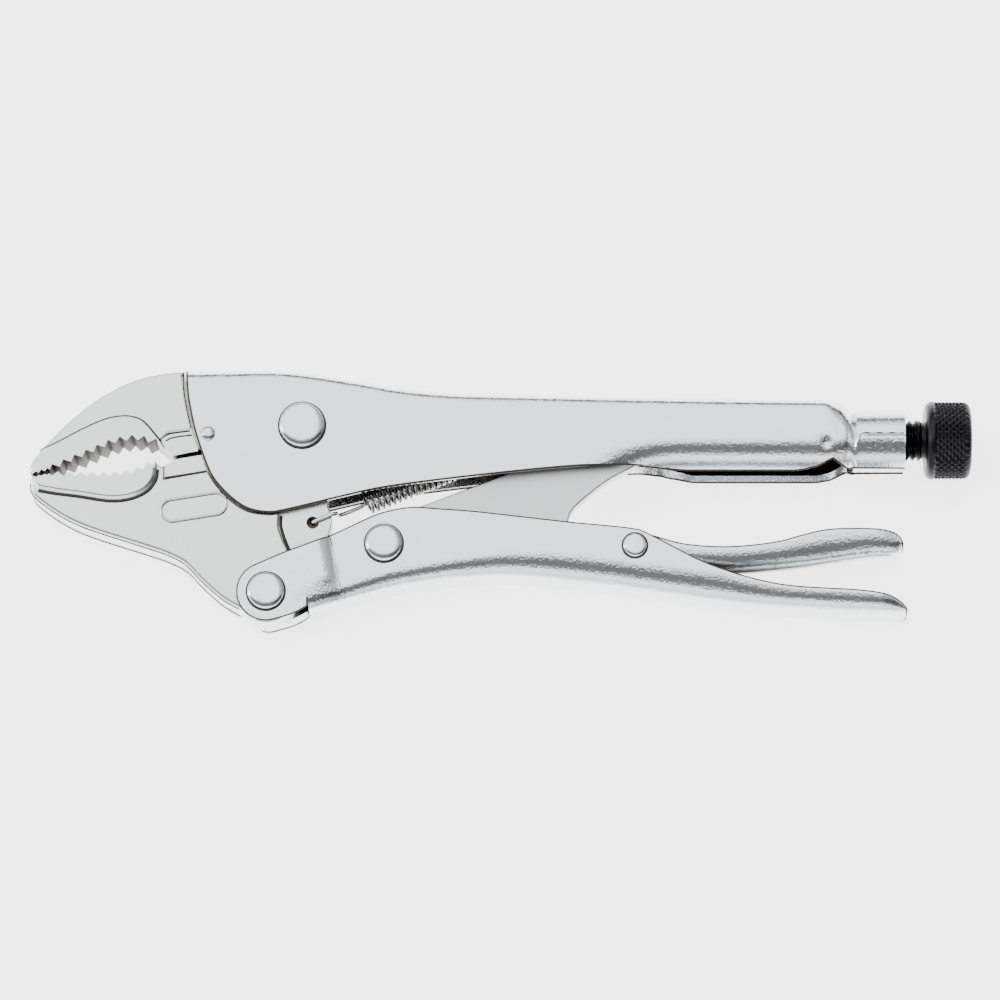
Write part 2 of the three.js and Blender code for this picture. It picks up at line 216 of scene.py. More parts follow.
def arc(centre: Pt, radius: float, start: float, end: float, count: int = 24) -> list[Pt]:
    """Points of an arc about a centre, with angles in degrees."""
    angles = np.radians(np.linspace(start, end, count + 1))
    return [(centre[0] + radius * math.cos(a), centre[1] + radius * math.sin(a)) for a in angles]


def along(points: Sequence[Pt], fractions: np.ndarray) -> np.ndarray:
    """Points of a polyline at fractions of its length."""
    p = np.array(points, float)
    run = np.concatenate([[0], np.cumsum(np.linalg.norm(np.diff(p, axis=0), axis=1))])
    return np.column_stack([np.interp(fractions * run[-1], run, p[:, k]) for k in (0, 1)])


@dataclass
class Outline:
    """A closed outline, counter-clockwise, with the share of the rim profile that each point takes."""

    points: list[Pt] = field(default_factory=list)
    rims: list[float] = field(default_factory=list)

    def line(self, *points: Pt, rim: float = 1.0) -> "Outline":
        """Add corners."""
        for p in points:
            if not self.points or math.dist(self.points[-1], p) > 0.02:
                self.points.append(p)
                self.rims.append(rim)
        return self

    def curve(self, *points: Pt, rim: float = 1.0, step: float = 0.8) -> "Outline":
        """Add a smooth run on from the last point."""
        return self.line(*spline([self.points[-1], *points], step)[1:], rim=rim)

    def closed(self) -> tuple[np.ndarray, np.ndarray]:
        """Return the points counter-clockwise and their rim shares."""
        p, r = np.array(self.points), np.array(self.rims)
        if math.dist(self.points[0], self.points[-1]) < 0.02:
            p, r = p[:-1], r[:-1]
        area = float(np.sum(p[:, 0] * np.roll(p[:, 1], -1) - np.roll(p[:, 0], -1) * p[:, 1]))
        return (p, r) if area > 0 else (p[::-1], r[::-1])


def inward(points: np.ndarray) -> np.ndarray:
    """Mitred inward offsets of a counter-clockwise outline, one per point, for an offset of 1."""
    ahead = np.roll(points, -1, axis=0) - points
    ahead /= np.linalg.norm(ahead, axis=1)[:, None]
    left = np.column_stack([-ahead[:, 1], ahead[:, 0]])
    both = left + np.roll(left, 1, axis=0)
    both /= np.maximum(np.linalg.norm(both, axis=1), 1e-6)[:, None]
    cosine = np.sum(both * left, axis=1)
    return both / np.clip(cosine, 0.5, 1)[:, None]


def rounded(half: float, radius: float, steps: int = 4) -> list[Pt]:
    """A rim profile of (inset, z) from the wall to the flat face, rounded over."""
    angles = np.linspace(0, math.pi / 2, steps + 1)
    turn = [(radius * (1 - math.cos(a)), half - radius + radius * math.sin(a)) for a in angles]
    return [*turn, (radius + 0.12, half)]


# ---- meshes -------------------------------------------------------------------------------------
@dataclass
class Solid:
    """Closed shells gathered into one mesh, in the drawing frame."""

    verts: list[tuple[float, float, float]] = field(default_factory=list)
    faces: list[tuple[int, ...]] = field(default_factory=list)

    def add(self, verts: np.ndarray, faces: Sequence[Sequence[int]]) -> "Solid":
        """Add one closed shell, turned so that its faces point outwards."""
        volume = 0.0
        for f in faces:
            p = verts[list(f)] - verts[0]
            volume += sum(float(p[0] @ np.cross(p[i], p[i + 1])) for i in range(1, len(f) - 1))
        step = 1 if volume > 0 else -1
        base = len(self.verts)
        self.verts += [tuple(map(float, v)) for v in verts]
        self.faces += [tuple(int(i) + base for i in f[::step]) for f in faces]
        return self

    def slab(self, outline: Outline, profile: Sequence[Pt], below: Sequence[Pt] | None = None) -> "Solid":
        """Add an outline made thick, with a rim profile above the middle plane and one below it.

        Args:
            outline: the widest outline.
            profile: (inset, z) pairs from the wall to the upper face.
            below: the same for the lower face with z negative; the upper one mirrored by default.
        """
        points, rims = outline.closed()
        push = inward(points) * rims[:, None]
        under = list(below) if below else [(i, -z) for i, z in profile]
        rings = [*reversed(under), *profile]
        n = len(points)
        verts = np.vstack([np.column_stack([points + push * inset, np.full(n, z)]) for inset, z in rings])
        faces: list[tuple[int, ...]] = [tuple(range(n))[::-1], tuple(range((len(rings) - 1) * n, len(rings) * n))]
        for k in range(len(rings) - 1):
            a, b = k * n, (k + 1) * n
            faces += [(a + i, a + (i + 1) % n, b + (i + 1) % n, b + i) for i in range(n)]
        return self.add(verts, faces)

    def lathe(self, profile: Sequence[Pt], place: Callable[[np.ndarray], np.ndarray], sides: int = 96) -> "Solid":
        """Add a solid of revolution.

        Args:
            profile: (radius, height) pairs that start and end on the axis, going up.
            place: turns local points, with the axis along z, into drawing-frame points.
            sides: points round the circle.
        """
        inner = list(profile[1:-1])
        turn = np.linspace(0, 2 * math.pi, sides, endpoint=False)
        rings = [np.column_stack([r * np.cos(turn), r * np.sin(turn), np.full(sides, z)]) for r, z in inner]
        low, high = profile[0][1], profile[-1][1]
        verts = np.vstack([*rings, [[0, 0, low], [0, 0, high]]])
        faces: list[tuple[int, ...]] = []
        for k in range(len(inner) - 1):
            a, b = k * sides, (k + 1) * sides
            faces += [(a + i, a + (i + 1) % sides, b + (i + 1) % sides, b + i) for i in range(sides)]
        bottom, top = len(inner) * sides, len(inner) * sides + 1
        last = (len(inner) - 1) * sides
        faces += [(bottom, (i + 1) % sides, i) for i in range(sides)]
        faces += [(top, last + i, last + (i + 1) % sides) for i in range(sides)]
        return self.add(place(verts), faces)

    def tube(self, path: np.ndarray, radius: float, sides: int = 12, ring: bool = False) -> "Solid":
        """Add a round wire along a path, with flat ends, or joined up into a ring."""
        tangent = np.gradient(np.vstack([path[-1], path, path[0]]), axis=0)[1:-1] if ring else np.gradient(path, axis=0)
        tangent /= np.linalg.norm(tangent, axis=1)[:, None]
        side = np.cross(tangent[0], [0.0, 0.0, 1.0])
        if np.linalg.norm(side) < 0.1:
            side = np.array([1.0, 0.0, 0.0])
        turn = np.linspace(0, 2 * math.pi, sides, endpoint=False)
        rings = []
        for p, t in zip(path, tangent, strict=True):
            side = side - t * float(side @ t)
            side = side / np.linalg.norm(side)
            rings.append(p + radius * (np.outer(np.cos(turn), side) + np.outer(np.sin(turn), np.cross(t, side))))
        n = len(path)
        faces: list[tuple[int, ...]] = []
        if not ring:
            faces += [tuple(range(sides))[::-1], tuple(range((n - 1) * sides, n * sides))]
        for k in range(n if ring else n - 1):
            a, b = k * sides, (k + 1) % n * sides
            faces += [(a + i, a + (i + 1) % sides, b + (i + 1) % sides, b + i) for i in range(sides)]
        return self.add(np.vstack(rings), faces)

    def sheet(self, outer: np.ndarray, inner: np.ndarray, keep: np.ndarray | None = None) -> "Solid":
        """Add a bent sheet between two grids of rows x columns x 3.

        Args:
            outer: points of the outer face.
            inner: the matching points of the inner face.
            keep: which grid cells exist, all of them by default.
        """
        rows, cols = outer.shape[:2]
        index = np.arange(rows * cols).reshape(rows, cols)
        quads = [
            (index[r, c], index[r + 1, c], index[r + 1, c + 1], index[r, c + 1])
            for r in range(rows - 1)
            for c in range(cols - 1)
            if keep is None or keep[r, c]
        ]
        used = {(q[i], q[(i + 1) % 4]) for q in quads for i in range(4)}
        rims = sorted((a, b) for a, b in used if (b, a) not in used)
        base = rows * cols
        faces: list[tuple[int, ...]] = [*quads, *((d + base, c + base, b + base, a + base) for a, b, c, d in quads)]
        faces += [(b, a, a + base, b + base) for a, b in rims]
        return self.add(np.vstack([outer.reshape(-1, 3), inner.reshape(-1, 3)]), faces)

    def to_object(
        self, name: str, finish: Finish, bevel: float = 0.0, cuts: Sequence["Solid"] = (), edge: Finish | None = None
    ) -> bpy.types.Object:
        """Make the finished, untransformed mesh object.

        Args:
            name: the object's name.
            finish: its finish.
            bevel: width in millimetres by which sharp rims are broken.
            cuts: solids cut out of it first.
            edge: the finish of the broken rims, if it differs.

        Returns:
            The object, in the row frame and in metres.
        """
        made = self.raw(name, finish)
        for cut in cuts:
            tool = cut.raw(f"{name}_cut", finish)
            self._modify(made, "BOOLEAN", operation="DIFFERENCE", object=tool, solver="MANIFOLD")
            bpy.data.objects.remove(tool)
        if edge:
            made.data.materials.append(edge.material())
        if bevel:
            rim = {"segments": 2, "limit_method": "ANGLE", "angle_limit": math.radians(50), "material": 1 if edge else -1}
            self._modify(made, "BEVEL", width=bevel * MM, **rim)
        made.data.shade_smooth()
        made.data.set_sharp_from_angle(angle=math.radians(38))
        self._modify(made, "WEIGHTED_NORMAL", keep_sharp=True, weight=60)
        return made

    def raw(self, name: str, finish: Finish) -> bpy.types.Object:
        """A plain object of the shells, without loose vertices."""
        co = (np.array(self.verts) + [0, SHIFT_Y, LIFT]) * MM
        used = sorted({i for f in self.faces for i in f})
        renumber = {old: new for new, old in enumerate(used)}
        mesh = bpy.data.meshes.new(name)
        mesh.from_pydata(co[used].tolist(), [], [[renumber[i] for i in f] for f in self.faces])
        mesh.materials.append(finish.material())
        made = bpy.data.objects.new(name, mesh)
        bpy.context.scene.collection.objects.link(made)
        return made

    @staticmethod
    def _modify(obj: bpy.types.Object, kind: str, **settings: object) -> None:
        """Add a modifier, bake it into the mesh and take it off."""
        modifier = obj.modifiers.new(kind.lower(), kind)
        for key, value in settings.items():
            setattr(modifier, key, value)
        bake(obj, one_finish=kind == "BOOLEAN")


def tint_bite(obj: bpy.types.Object, low: Pt, high: Pt) -> None:
    """Paint the tooth walls inside a box of x and y near-black."""
    obj.data.materials.append(DARK_TOOTH_WALLS.material())
    for poly in obj.data.polygons:
        x, y, _ = poly.center / MM
        inside = low[0] < x < high[0] and low[1] < y - SHIFT_Y < high[1]
        if inside and abs(poly.normal.z) < 0.3:
            poly.material_index = 1


def tint_rims(obj: bpy.types.Object, finish: Finish) -> None:
    """Give the rounded rims of a plate, between its walls and its faces, another finish."""
    obj.data.materials.append(finish.material())
    for poly in obj.data.polygons:
        if 0.15 < abs(poly.normal.z) < 0.97:
            poly.material_index = 1


def level(points: Sequence[Pt], height: float) -> np.ndarray:
    """A smooth line through points, at one height."""
    return np.array([(x, y, height) for x, y in spline(points, 0.7)])


def crease(obj: bpy.types.Object, lines: Sequence[np.ndarray], radius: float, finish: Finish) -> None:
    """Lay thin half-sunk wires on an object: painted shade as dark lines at the foot of a step, in a gap or along a
    rim.

    Args:
        obj: the object that gets the lines.
        lines: the lines' points in space.
        radius: the wires' radius.
        finish: the wires' finish.
    """
    wire = Solid()
    for line in lines:
        path = [line[0]]
        for p in line[1:]:
            if math.dist(p, path[-1]) > 0.12:
                path.append(p)
        wire.tube(np.array(path) - [0.0, 0.0, 0.45 * radius], radius, sides=8)
    extra = wire.raw(f"{obj.name}_crease", finish)
    obj.data.materials.append(finish.material())
    both = bmesh.new()
    both.from_mesh(obj.data)
    old = len(both.faces)
    both.from_mesh(extra.data)
    both.faces.ensure_lookup_table()
    for face in both.faces[old:]:
        face.material_index = len(obj.data.materials) - 1
        face.smooth = True
    both.to_mesh(obj.data)
    both.free()
    bpy.data.objects.remove(extra)


def bake(obj: bpy.types.Object, one_finish: bool = True) -> None:
    """Replace an object's mesh with its evaluated one and remove its modifiers."""
    graph = bpy.context.evaluated_depsgraph_get()
    graph.update()
    old = obj.data
    mesh = bpy.data.meshes.new_from_object(obj.evaluated_get(graph), depsgraph=graph)
    obj.modifiers.clear()
    obj.data = mesh
    mesh.name = obj.name
    bpy.data.meshes.remove(old)
    if one_finish:
        mesh.polygons.foreach_set("material_index", [0] * len(mesh.polygons))


# ---- folded sheet -------------------------------------------------------------------------------
def eased(x: np.ndarray | float, knots: Sequence[Pt]) -> np.ndarray:
    """A value along x that eases from knot to knot."""
    xs, ys = np.array(knots, float).T
    x = np.atleast_1d(np.asarray(x, float))
    i = np.clip(np.searchsorted(xs, x) - 1, 0, len(xs) - 2)
    t = np.clip((x - xs[i]) / (xs[i + 1] - xs[i]), 0, 1)
    return ys[i] + (ys[i + 1] - ys[i]) * t * t * (3 - 2 * t)


def at_x(chain: Sequence[Pt], x: float) -> Pt:
    """The point of a chain at an x."""
    xs, ys = np.array(sorted(chain)).T
    return (x, float(np.interp(x, xs, ys)))


def patch(left: Sequence[Pt], right: Sequence[Pt], start: Sequence[Pt], end: Sequence[Pt], count: int) -> list[np.ndarray]:
    """Lines that fill a four-sided patch.

    Args:
        left: the first line.
        right: the last line, in the same direction.
        start: the side through the lines' first points, left to right.
        end: the side through their last points, left to right.
        count: number of steps between the first and the last line.

    Returns:
        The lines as arrays of points, without the last one.
    """
    v = np.linspace(0, 1, 25)
    u = np.arange(count) / count
    a, b = along(left, v), along(right, v)
    c, d = along(start, u), along(end, u)
    lines = []
    for i, s in enumerate(u):
        t = v[:, None]
        flat = (1 - t) * ((1 - s) * a[0] + s * b[0]) + t * ((1 - s) * a[-1] + s * b[-1])
        lines.append((1 - t) * c[i] + t * d[i] + (1 - s) * a + s * b - flat)
    return lines


@dataclass
class Fold:
    """A sheet folded into a channel: two legs joined by a web.

    Each station is a line from the free rim of a leg to the outside of the web. The near leg has z > 0.
    The bend at the web gives its reach along the leg and across the web, and the curl at the rim gives
    its margin, radius and amount.
    """

    near: list[np.ndarray]
    thick: float
    half: Callable[[np.ndarray], np.ndarray]
    bend: Callable[[float], Pt]
    far: list[np.ndarray] | None = None
    curl: Callable[[float, np.ndarray], tuple[float, float, float]] = lambda x, line: (0.6, 3.0, 0.0)
    web_from: int = 0
    leg_steps: int = 12
    bend_steps: int = 8
    curl_steps: int = 9
    grid: np.ndarray | None = None

    def free_edges(self, end: bool = True) -> list[np.ndarray]:
        """Free edges of the outer face: both rims, the front, the heels of the open part, and the rear end."""
        side = self.curl_steps + self.leg_steps
        lines = [self.grid[:, 0], self.grid[:, -1], self.grid[0, : side + self.bend_steps]]
        if self.web_from:
            lines += [self.grid[: self.web_from + 1, side], self.grid[: self.web_from + 1, -1 - side]]
        return [*lines, self.grid[-1]] if end else lines

    def solid(self) -> Solid:
        """Build the folded sheet."""
        outer, inner = [], []
        for i, line in enumerate(self.near):
            near_out, near_in = self._leg(line, i)
            far_out, far_in = self._leg(self.far[i] if self.far else line, i)
            outer.append(np.vstack([near_out, (far_out * [1, 1, -1])[::-1]]))
            inner.append(np.vstack([near_in, (far_in * [1, 1, -1])[::-1]]))
        self.grid = np.array(outer)
        rows, cols = self.grid.shape[:2]
        keep = np.ones((rows - 1, cols - 1), bool)
        side = self.curl_steps + self.leg_steps
        keep[: self.web_from, side : cols - 1 - side] = False
        return Solid().sheet(np.array(outer), np.array(inner), keep)

    def _leg(self, line: np.ndarray, station: int) -> tuple[np.ndarray, np.ndarray]:
        """Outer and inner points of one leg and its half of the web."""
        run = np.concatenate([[0], np.cumsum(np.linalg.norm(np.diff(line, axis=0), axis=1))])
        length, x = float(run[-1]), float(line[-1][0])
        tall, wide = self.bend(x) if station >= self.web_from else (0.0, 0.0)
        bend = min(tall, 0.9 * length)
        margin, radius, amount = self.curl(x, line)
        margin = min(margin, 0.9 * (length - bend))
        turn = math.asin(min(1.0, margin / radius)) * (1 - np.arange(self.curl_steps) / self.curl_steps)
        fold = np.linspace(0, math.pi / 2, self.bend_steps + 1)
        small = radius - amount * self.thick
        inside, across = max(bend - self.thick, 0.0), max(wide - self.thick, 0.0)
        straight = np.linspace(margin, length - bend, self.leg_steps + 1)[:-1]
        drop_out, drop_in = amount * radius * (1 - np.cos(turn)), amount * small * (1 - np.cos(turn))
        web = np.linspace(1, 0, 4)[1:]
        reach = np.concatenate([margin - radius * np.sin(turn), straight, length - bend * (1 - np.sin(fold))])
        depth = np.concatenate([margin - small * np.sin(turn), straight, length - bend + inside * np.sin(fold)])
        fall_out = np.concatenate([drop_out, 0 * straight, wide * (1 - np.cos(fold))])
        fall_in = np.concatenate([self.thick + drop_in, 0 * straight + self.thick, wide - across * np.cos(fold)])
        reach, depth = np.append(reach, 0 * web + length), np.append(depth, 0 * web + length - self.thick)

        def place(distance: np.ndarray, fall: np.ndarray) -> np.ndarray:
            xy = np.column_stack([np.interp(distance, run, line[:, k]) for k in (0, 1)])
            z = self.half(xy)[: len(fall)] - fall
            return np.column_stack([xy, np.append(z, z[-1] * web)])

        return place(reach, fall_out), place(depth, fall_in)


# ---- fixed handle -------------------------------------------------------------------------------
@dataclass
class FixedHandle:
    """The folded handle that carries the upper jaw and ends in the screw's tube."""

    bend: float = 3.1
    curl: float = 7.4
    curl_centre: float = 14.0
    tube: float = 7.33
    tube_end: float = 96.8
    crimp: Pt = (77.8, 12.9)
    seam: tuple[float, float, float] = (87.0, 96.9, 14.6)
    top: tuple[Pt, ...] = (
        (-65, 30.8), (-55.9, 31.0), (-46.7, 30.3), (-32.9, 28.1), (-23.8, 26.5), (-14.5, 25.6),
        (-5.4, 25.2), (31.2, 24.4), (57.4, 23.95), (76.0, 23.75), (79.4, 23.6),
    )
    shoulder: tuple[Pt, ...] = ((81.6, 23.5), (83.2, 22.7), (84.2, 21.5), (84.7, 21.0), (85.2, 22.0), (96.8, 22.13))
    front: tuple[Pt, ...] = ((-71.9, 12.0), (-73.3, 16.6), (-74.7, 23.3), (-75.2, 28.3), (-75.4, 30.7))
    cheek: tuple[Pt, ...] = (
        (-71.9, 12.0), (-69.5, 5.8), (-66.9, 2.1), (-63.3, -1.3), (-59.8, -3.3), (-55.4, -4.0), (-52.3, -3.6), (-46.7, -2.3),
    )
    belly: tuple[Pt, ...] = (
        (-46.7, -2.3), (-37.4, 0.0), (-28.3, 2.0), (-14.6, 3.9), (3.7, 6.0), (18.0, 7.3), (31.2, 7.8),
        (35.0, 7.5),
    )
    near_rear: tuple[Pt, ...] = ((44.0, 7.1), (70.6, 7.1), (73.0, 7.3), (76.0, 7.9), (79.4, 9.5), (81.6, 8.2), (83.8, 7.4), (85.2, 7.47), (96.8, 7.47))
    far_rear: tuple[Pt, ...] = ((40.0, 6.0), (46.0, 5.0), (76.0, 5.0), (79.2, 5.5), (82.0, 6.6), (84.0, 7.3), (85.2, 7.47), (96.8, 7.47))

    def half(self, xy: np.ndarray) -> np.ndarray:
        """Half width over the plates, with the crimp that locks the tube."""
        wide = eased(xy[:, 0], [(78.5, PLATE), (82.0, 7.25), (83.6, 7.0), (84.6, 6.75), (85.2, self.tube + 0.02)])
        away = np.hypot(xy[:, 0] - self.crimp[0], xy[:, 1] - self.crimp[1])
        return wide - 0.5 * np.exp(-((away / 1.35) ** 2))

    def rolled(self, x: float, line: np.ndarray) -> tuple[float, float, float]:
        """Margin, radius and amount of the inward roll along the lower rim."""
        centre = float(eased(x, [(78.0, self.curl_centre), (84.6, 14.8)])[0])
        sag = min(max((7.1 - float(line[0][1])) / 2.1, 0.0), 1.0) if x < 84 else 0.0
        amount = float(eased(x, [(16.0, 0.0), (44.0, 1.0)])[0]) * (1 - 0.42 * sag)
        margin = max(centre - float(line[0][1]), 1.6)
        if x < 40:
            margin = float(eased(x, [(-60, 1.6), (0, 1.6), (40, margin)])[0])
        return margin, max(self.curl + (self.tube - self.curl) * (x > 84), margin * 1.0001), amount

    def stations(self, rear: Sequence[Pt]) -> list[np.ndarray]:
        """Lines from the lower rim to the back, front to rear."""
        back = [*spline([(-75.4, 30.7), *self.top], 1.0), *self.shoulder]
        rim = [*spline(self.belly, 1.0), *rear]
        start = -46.7
        over = [p for p in back if p[0] < start] + [at_x(back, start)]
        front = patch(spline(self.front, 1.0), [at_x(rim, start), at_x(back, start)], spline(self.cheek, 1.0), over, 34)
        xs = [*np.arange(start, 70, 1.4), *np.arange(70, 84.4, 0.45), 84.6, 84.9, 85.2, *np.linspace(85.8, self.tube_end, 12)]
        return front + [np.array([at_x(rim, float(x)), at_x(back, float(x))]) for x in xs]

    def lap_edges(self) -> list[np.ndarray]:
        """The top and the ragged front edge of the tube's lap."""
        r = self.tube + 0.12
        turn = np.radians(np.linspace(91, 5, 40))
        ragged = 0.18 * np.sin(9 * turn) + 0.12 * np.sin(23 * turn + 1)
        front = np.column_stack([85.95 - 1.6 * np.cos(turn) + ragged, SCREW_Y - r * np.cos(turn), r * np.sin(turn)])
        x = np.linspace(86.2, 96.3, 30)
        top = np.column_stack([x, SCREW_Y + 0.3 + 0.1 * np.sin(2.1 * x), 0 * x + r + 0.05])
        return [front, top]

    def lap(self, body: Solid) -> None:
        """Add the lapped lower half of the tube, with its ragged front edge."""
        turn = np.radians(np.linspace(-88, 91, 46))[:, None]
        ragged = 0.18 * np.sin(9 * turn) + 0.12 * np.sin(23 * turn + 1)
        x = (86.0 - 1.6 * np.cos(turn) + ragged) + np.linspace(0, 1, 20)[None, :] * (10.5 + 1.6 * np.cos(turn) - ragged)
        swell = 0.05 * np.sin(2.3 * x + 5 * turn) * np.clip(np.sin(turn) * 3 - 1.8, 0, 1)
        faces = []
        for radius in (self.tube + 0.3, self.tube + 0.03):
            r = radius + (swell if radius > self.tube + 0.1 else 0 * x)
            faces.append(np.dstack([x, SCREW_Y - r * np.cos(turn), r * np.sin(turn)]))
        body.sheet(*faces)

    def build(self) -> bpy.types.Object:
        """Make the handle, with its spring tab, and cut the tube's seam."""
        fold = Fold(
            near=self.stations(self.near_rear),
            far=self.stations(self.far_rear),
            thick=SHEET,
            half=self.half,
            bend=lambda x: (float(eased(x, [(77.0, self.bend), (84.4, self.tube)])[0]),) * 2,
            curl=self.rolled,
        )
        body = fold.solid()
        tab = Outline().line((-5.0, 8.2), (-2.2, 9.2), (-2.6, 10.2), (-5.4, 9.2))
        body.slab(tab, [(0, PLATE - SHEET + 0.4), (0.02, PLATE - SHEET + 0.5)])
        self.lap(body)
        x0, x1, y = self.seam
        groove = Outline().line((x0, y - 0.14), (x1, y - 0.14), (x1, y + 0.14), (x0, y + 0.14))
        cut = Solid().slab(groove, [(0, 9.0), (0.01, 9.01)], below=[(0, 6.7), (0.01, 6.69)])
        made = body.to_object("fixed_handle_shell", PLATED_SHEET, cuts=[cut])
        # Painted shade: dark lines along the free rims of the sheet and along the edges of the tube's lap.
        crease(made, fold.free_edges(end=False), 0.26, PAINTED_RIM_SHADE)
        crease(made, self.lap_edges(), 0.2, PAINTED_CREASE_SHADE)
        return made


# ---- lever handle -------------------------------------------------------------------------------
@dataclass
class LeverHandle:
    """The moving grip: a fork at the lower jaw, a joggle, and a deep round-bottomed channel."""

    joggle: tuple[Pt, Pt] = ((-40.8, -10.5), (-38.4, -22.3))
    joggle_run: float = 3.8
    rim: tuple[Pt, ...] = (
        (-51.3, -14.0), (-41.2, -10.1), (-32.9, -6.2), (-28.3, -4.3), (-21.5, -3.0), (-14.5, -3.4), (-5.4, -4.1),
        (15.6, -6.5), (31.2, -8.1), (35.9, -9.8), (49.7, -16.8), (65.9, -21.5), (84.2, -22.9), (90.0, -23.6),
        (92.6, -24.2), (94.6, -25.2), (96.0, -26.4), (96.6, -27.3),
    )
    sole: tuple[Pt, ...] = (
        (-45.4, -28.3), (-32.9, -24.6), (-23.8, -22.4), (-14.6, -21.0), (-5.5, -20.3), (3.6, -20.3), (22.1, -22.0),
        (40.6, -24.6), (61.2, -27.4), (79.7, -28.7), (92.5, -29.25), (95.6, -29.3), (96.3, -29.0), (96.6, -28.6),
    )

    def half(self, xy: np.ndarray) -> np.ndarray:
        """Half width over the plates: the fork, the joggle down to the channel, and the taper of the tail."""
        (x0, y0), (x1, y1) = self.joggle
        line = x0 + (y0 - xy[:, 1]) * (x1 - x0) / (y0 - y1)
        run = self.joggle_run + 2.2 * np.clip(-20.0 - xy[:, 1], 0, 7)
        t = np.clip((xy[:, 0] - line) / run + 1, 0, 1)
        tail = eased(xy[:, 0], [(88.0, 0.0), (97.4, 1.0)]) ** 1.6
        return FORK - (FORK - PLATE) * t**2 - 1.6 * tail

    @staticmethod
    def bend(x: float) -> Pt:
        """Reach of the bend up the legs and across the sole."""
        tall = float(eased(x, [(-46.0, 3.6), (-25.0, 4.6), (20.0, 7.2), (60.0, 7.6), (97.0, 7.0)])[0])
        return tall, min(tall, 6.6)

    def build(self) -> bpy.types.Object:
        """Make the lever."""
        rim, sole = spline(self.rim, 0.8), spline(self.sole, 0.8)
        ear = arc(LEVER_PIVOT, 6.9, 115, 290, 60)
        nose, lip, toe = ear[6:50], ear[6::-1], ear[50:]
        top_end, bottom_end = at_x(rim, -48.6), (-46.2, -26.9)
        over = [*lip, *spline([ear[0], *self.rim[:3]], 0.8)]
        over = [p for p in over if p[0] < top_end[0]] + [top_end]
        under = spline([*toe[::3], toe[-1], (-50.5, -29.1), (-48.2, -28.1), bottom_end], 0.6)
        fork = patch(nose, [top_end, bottom_end], over, [nose[-1], *under], 20)
        fork.append(np.array([top_end, bottom_end]))
        tops = [*np.linspace(-48.1, -43.9, 6), *np.linspace(-43.5, -40.9, 9), *np.linspace(-39.6, -18.0, 16)]
        slants = eased(np.array(tops), [(-41.5, 2.5), (-18.0, 0.0)])
        slanted = [np.array([at_x(rim, float(x)), at_x(sole, float(x + d))]) for x, d in zip(tops, slants, strict=True)]
        xs = [*np.arange(-16.5, 84, 1.5), *np.arange(84, 95, 0.6), 95.2, 95.7, 96.2, 96.6]
        straight = [np.array([at_x(rim, float(x)), at_x(sole, float(x))]) for x in xs]
        fold = Fold(
            near=[*fork, *slanted, *straight],
            thick=SHEET,
            half=self.half,
            bend=self.bend,
            web_from=len(fork),
        )
        made = fold.solid().to_object("lever_handle_shell", PLATED_SHEET)
        # Painted shade: dark lines along the free rims and in the joggle's inner corner.
        crease(made, fold.free_edges(), 0.2, PAINTED_RIM_SHADE)
        fold_line = level([(x + 0.15, y) for x, y in self.joggle], PLATE)
        crease(made, [fold_line], 0.2, PAINTED_CREASE_SHADE)
        return made


# ---- release lever ------------------------------------------------------------------------------
@dataclass
class ReleaseLever:
    """The small pressed lever inside the grip that pushes the toggle open."""

    sheet: float = 1.6
    back: tuple[Pt, ...] = (
        (16.6, -15.4), (20.6, -12.4), (26.4, -9.4), (31.6, -8.2), (35.8, -9.2), (44.1, -11.4), (54.7, -12.0),
        (65.5, -10.9), (72.0, -9.2), (78.4, -7.8), (86.9, -7.6), (91.4, -7.9), (94.0, -8.5), (95.4, -9.6), (96.0, -10.8),
    )
    under: tuple[Pt, ...] = (
        (16.6, -16.9), (19.4, -17.4), (33.6, -17.5), (46.0, -17.9), (59.0, -17.6), (71.9, -16.4), (82.6, -14.8),
        (89.0, -14.1), (94.2, -14.0), (95.4, -13.4), (96.0, -12.3),
    )

    def build(self) -> bpy.types.Object:
        """Make the lever."""
        back, under = spline(self.back, 0.8), spline(self.under, 0.8)
        xs = [*np.arange(16.6, 86, 1.2), *np.arange(86, 95.2, 0.6), 95.5, 96.0]
        fold = Fold(
            near=[np.array([at_x(back, float(x)), at_x(under, float(x))]) for x in xs],
            thick=self.sheet,
            half=lambda xy: RELEASE - 0.9 * eased(xy[:, 0], [(88.0, 0.0), (96.4, 1.0)]) ** 1.5,
            bend=lambda x: (float(eased(x, [(30.0, 2.6), (46.0, 6.2), (70.0, 7.4), (88.0, 6.0), (96.0, 4.0)])[0]), 3.8),
            leg_steps=8,
        )
        made = fold.solid().to_object("release_lever_shell", PLATED_SHEET)
        # Painted shade: dark lines along the free rims.
        crease(made, fold.free_edges(), 0.2, PAINTED_RIM_SHADE)
        return made


# ---- jaws ---------------------------------------------------------------------------------------
def teeth(curve: Sequence[Pt], count: int, depth: float, shift: float = 0.0) -> list[Pt]:
    """Zigzag points: roots evenly spaced on a curve, with tips offset to one side between them.

    Args:
        curve: points the roots' line passes through.
        count: number of teeth.
        depth: height of the tips, to the right of the curve's direction.
        shift: how far the whole row is moved back into the metal, away from the tips.

    Returns:
        The zigzag's corners.
    """
    fine = spline(curve, 0.1)
    roots = along(fine, np.linspace(0, 1, 2 * count + 1))
    ahead = np.gradient(roots, axis=0)
    ahead /= np.linalg.norm(ahead, axis=1)[:, None]
    right = np.column_stack([ahead[:, 1], -ahead[:, 0]])
    out = np.where(np.arange(2 * count + 1) % 2, depth, 0.0) - math.copysign(shift, depth)
    return [tuple(map(float, p)) for p in roots + right * out[:, None]]


BLADE_RIM = rounded(JAW, 0.9)
PAD_RIM = [(0.0, JAW - 0.3), (0.12, JAW + 0.05), (0.95, PAD - 0.12), (1.25, PAD), (1.4, PAD)]
LAND_Z = JAW - 0.85


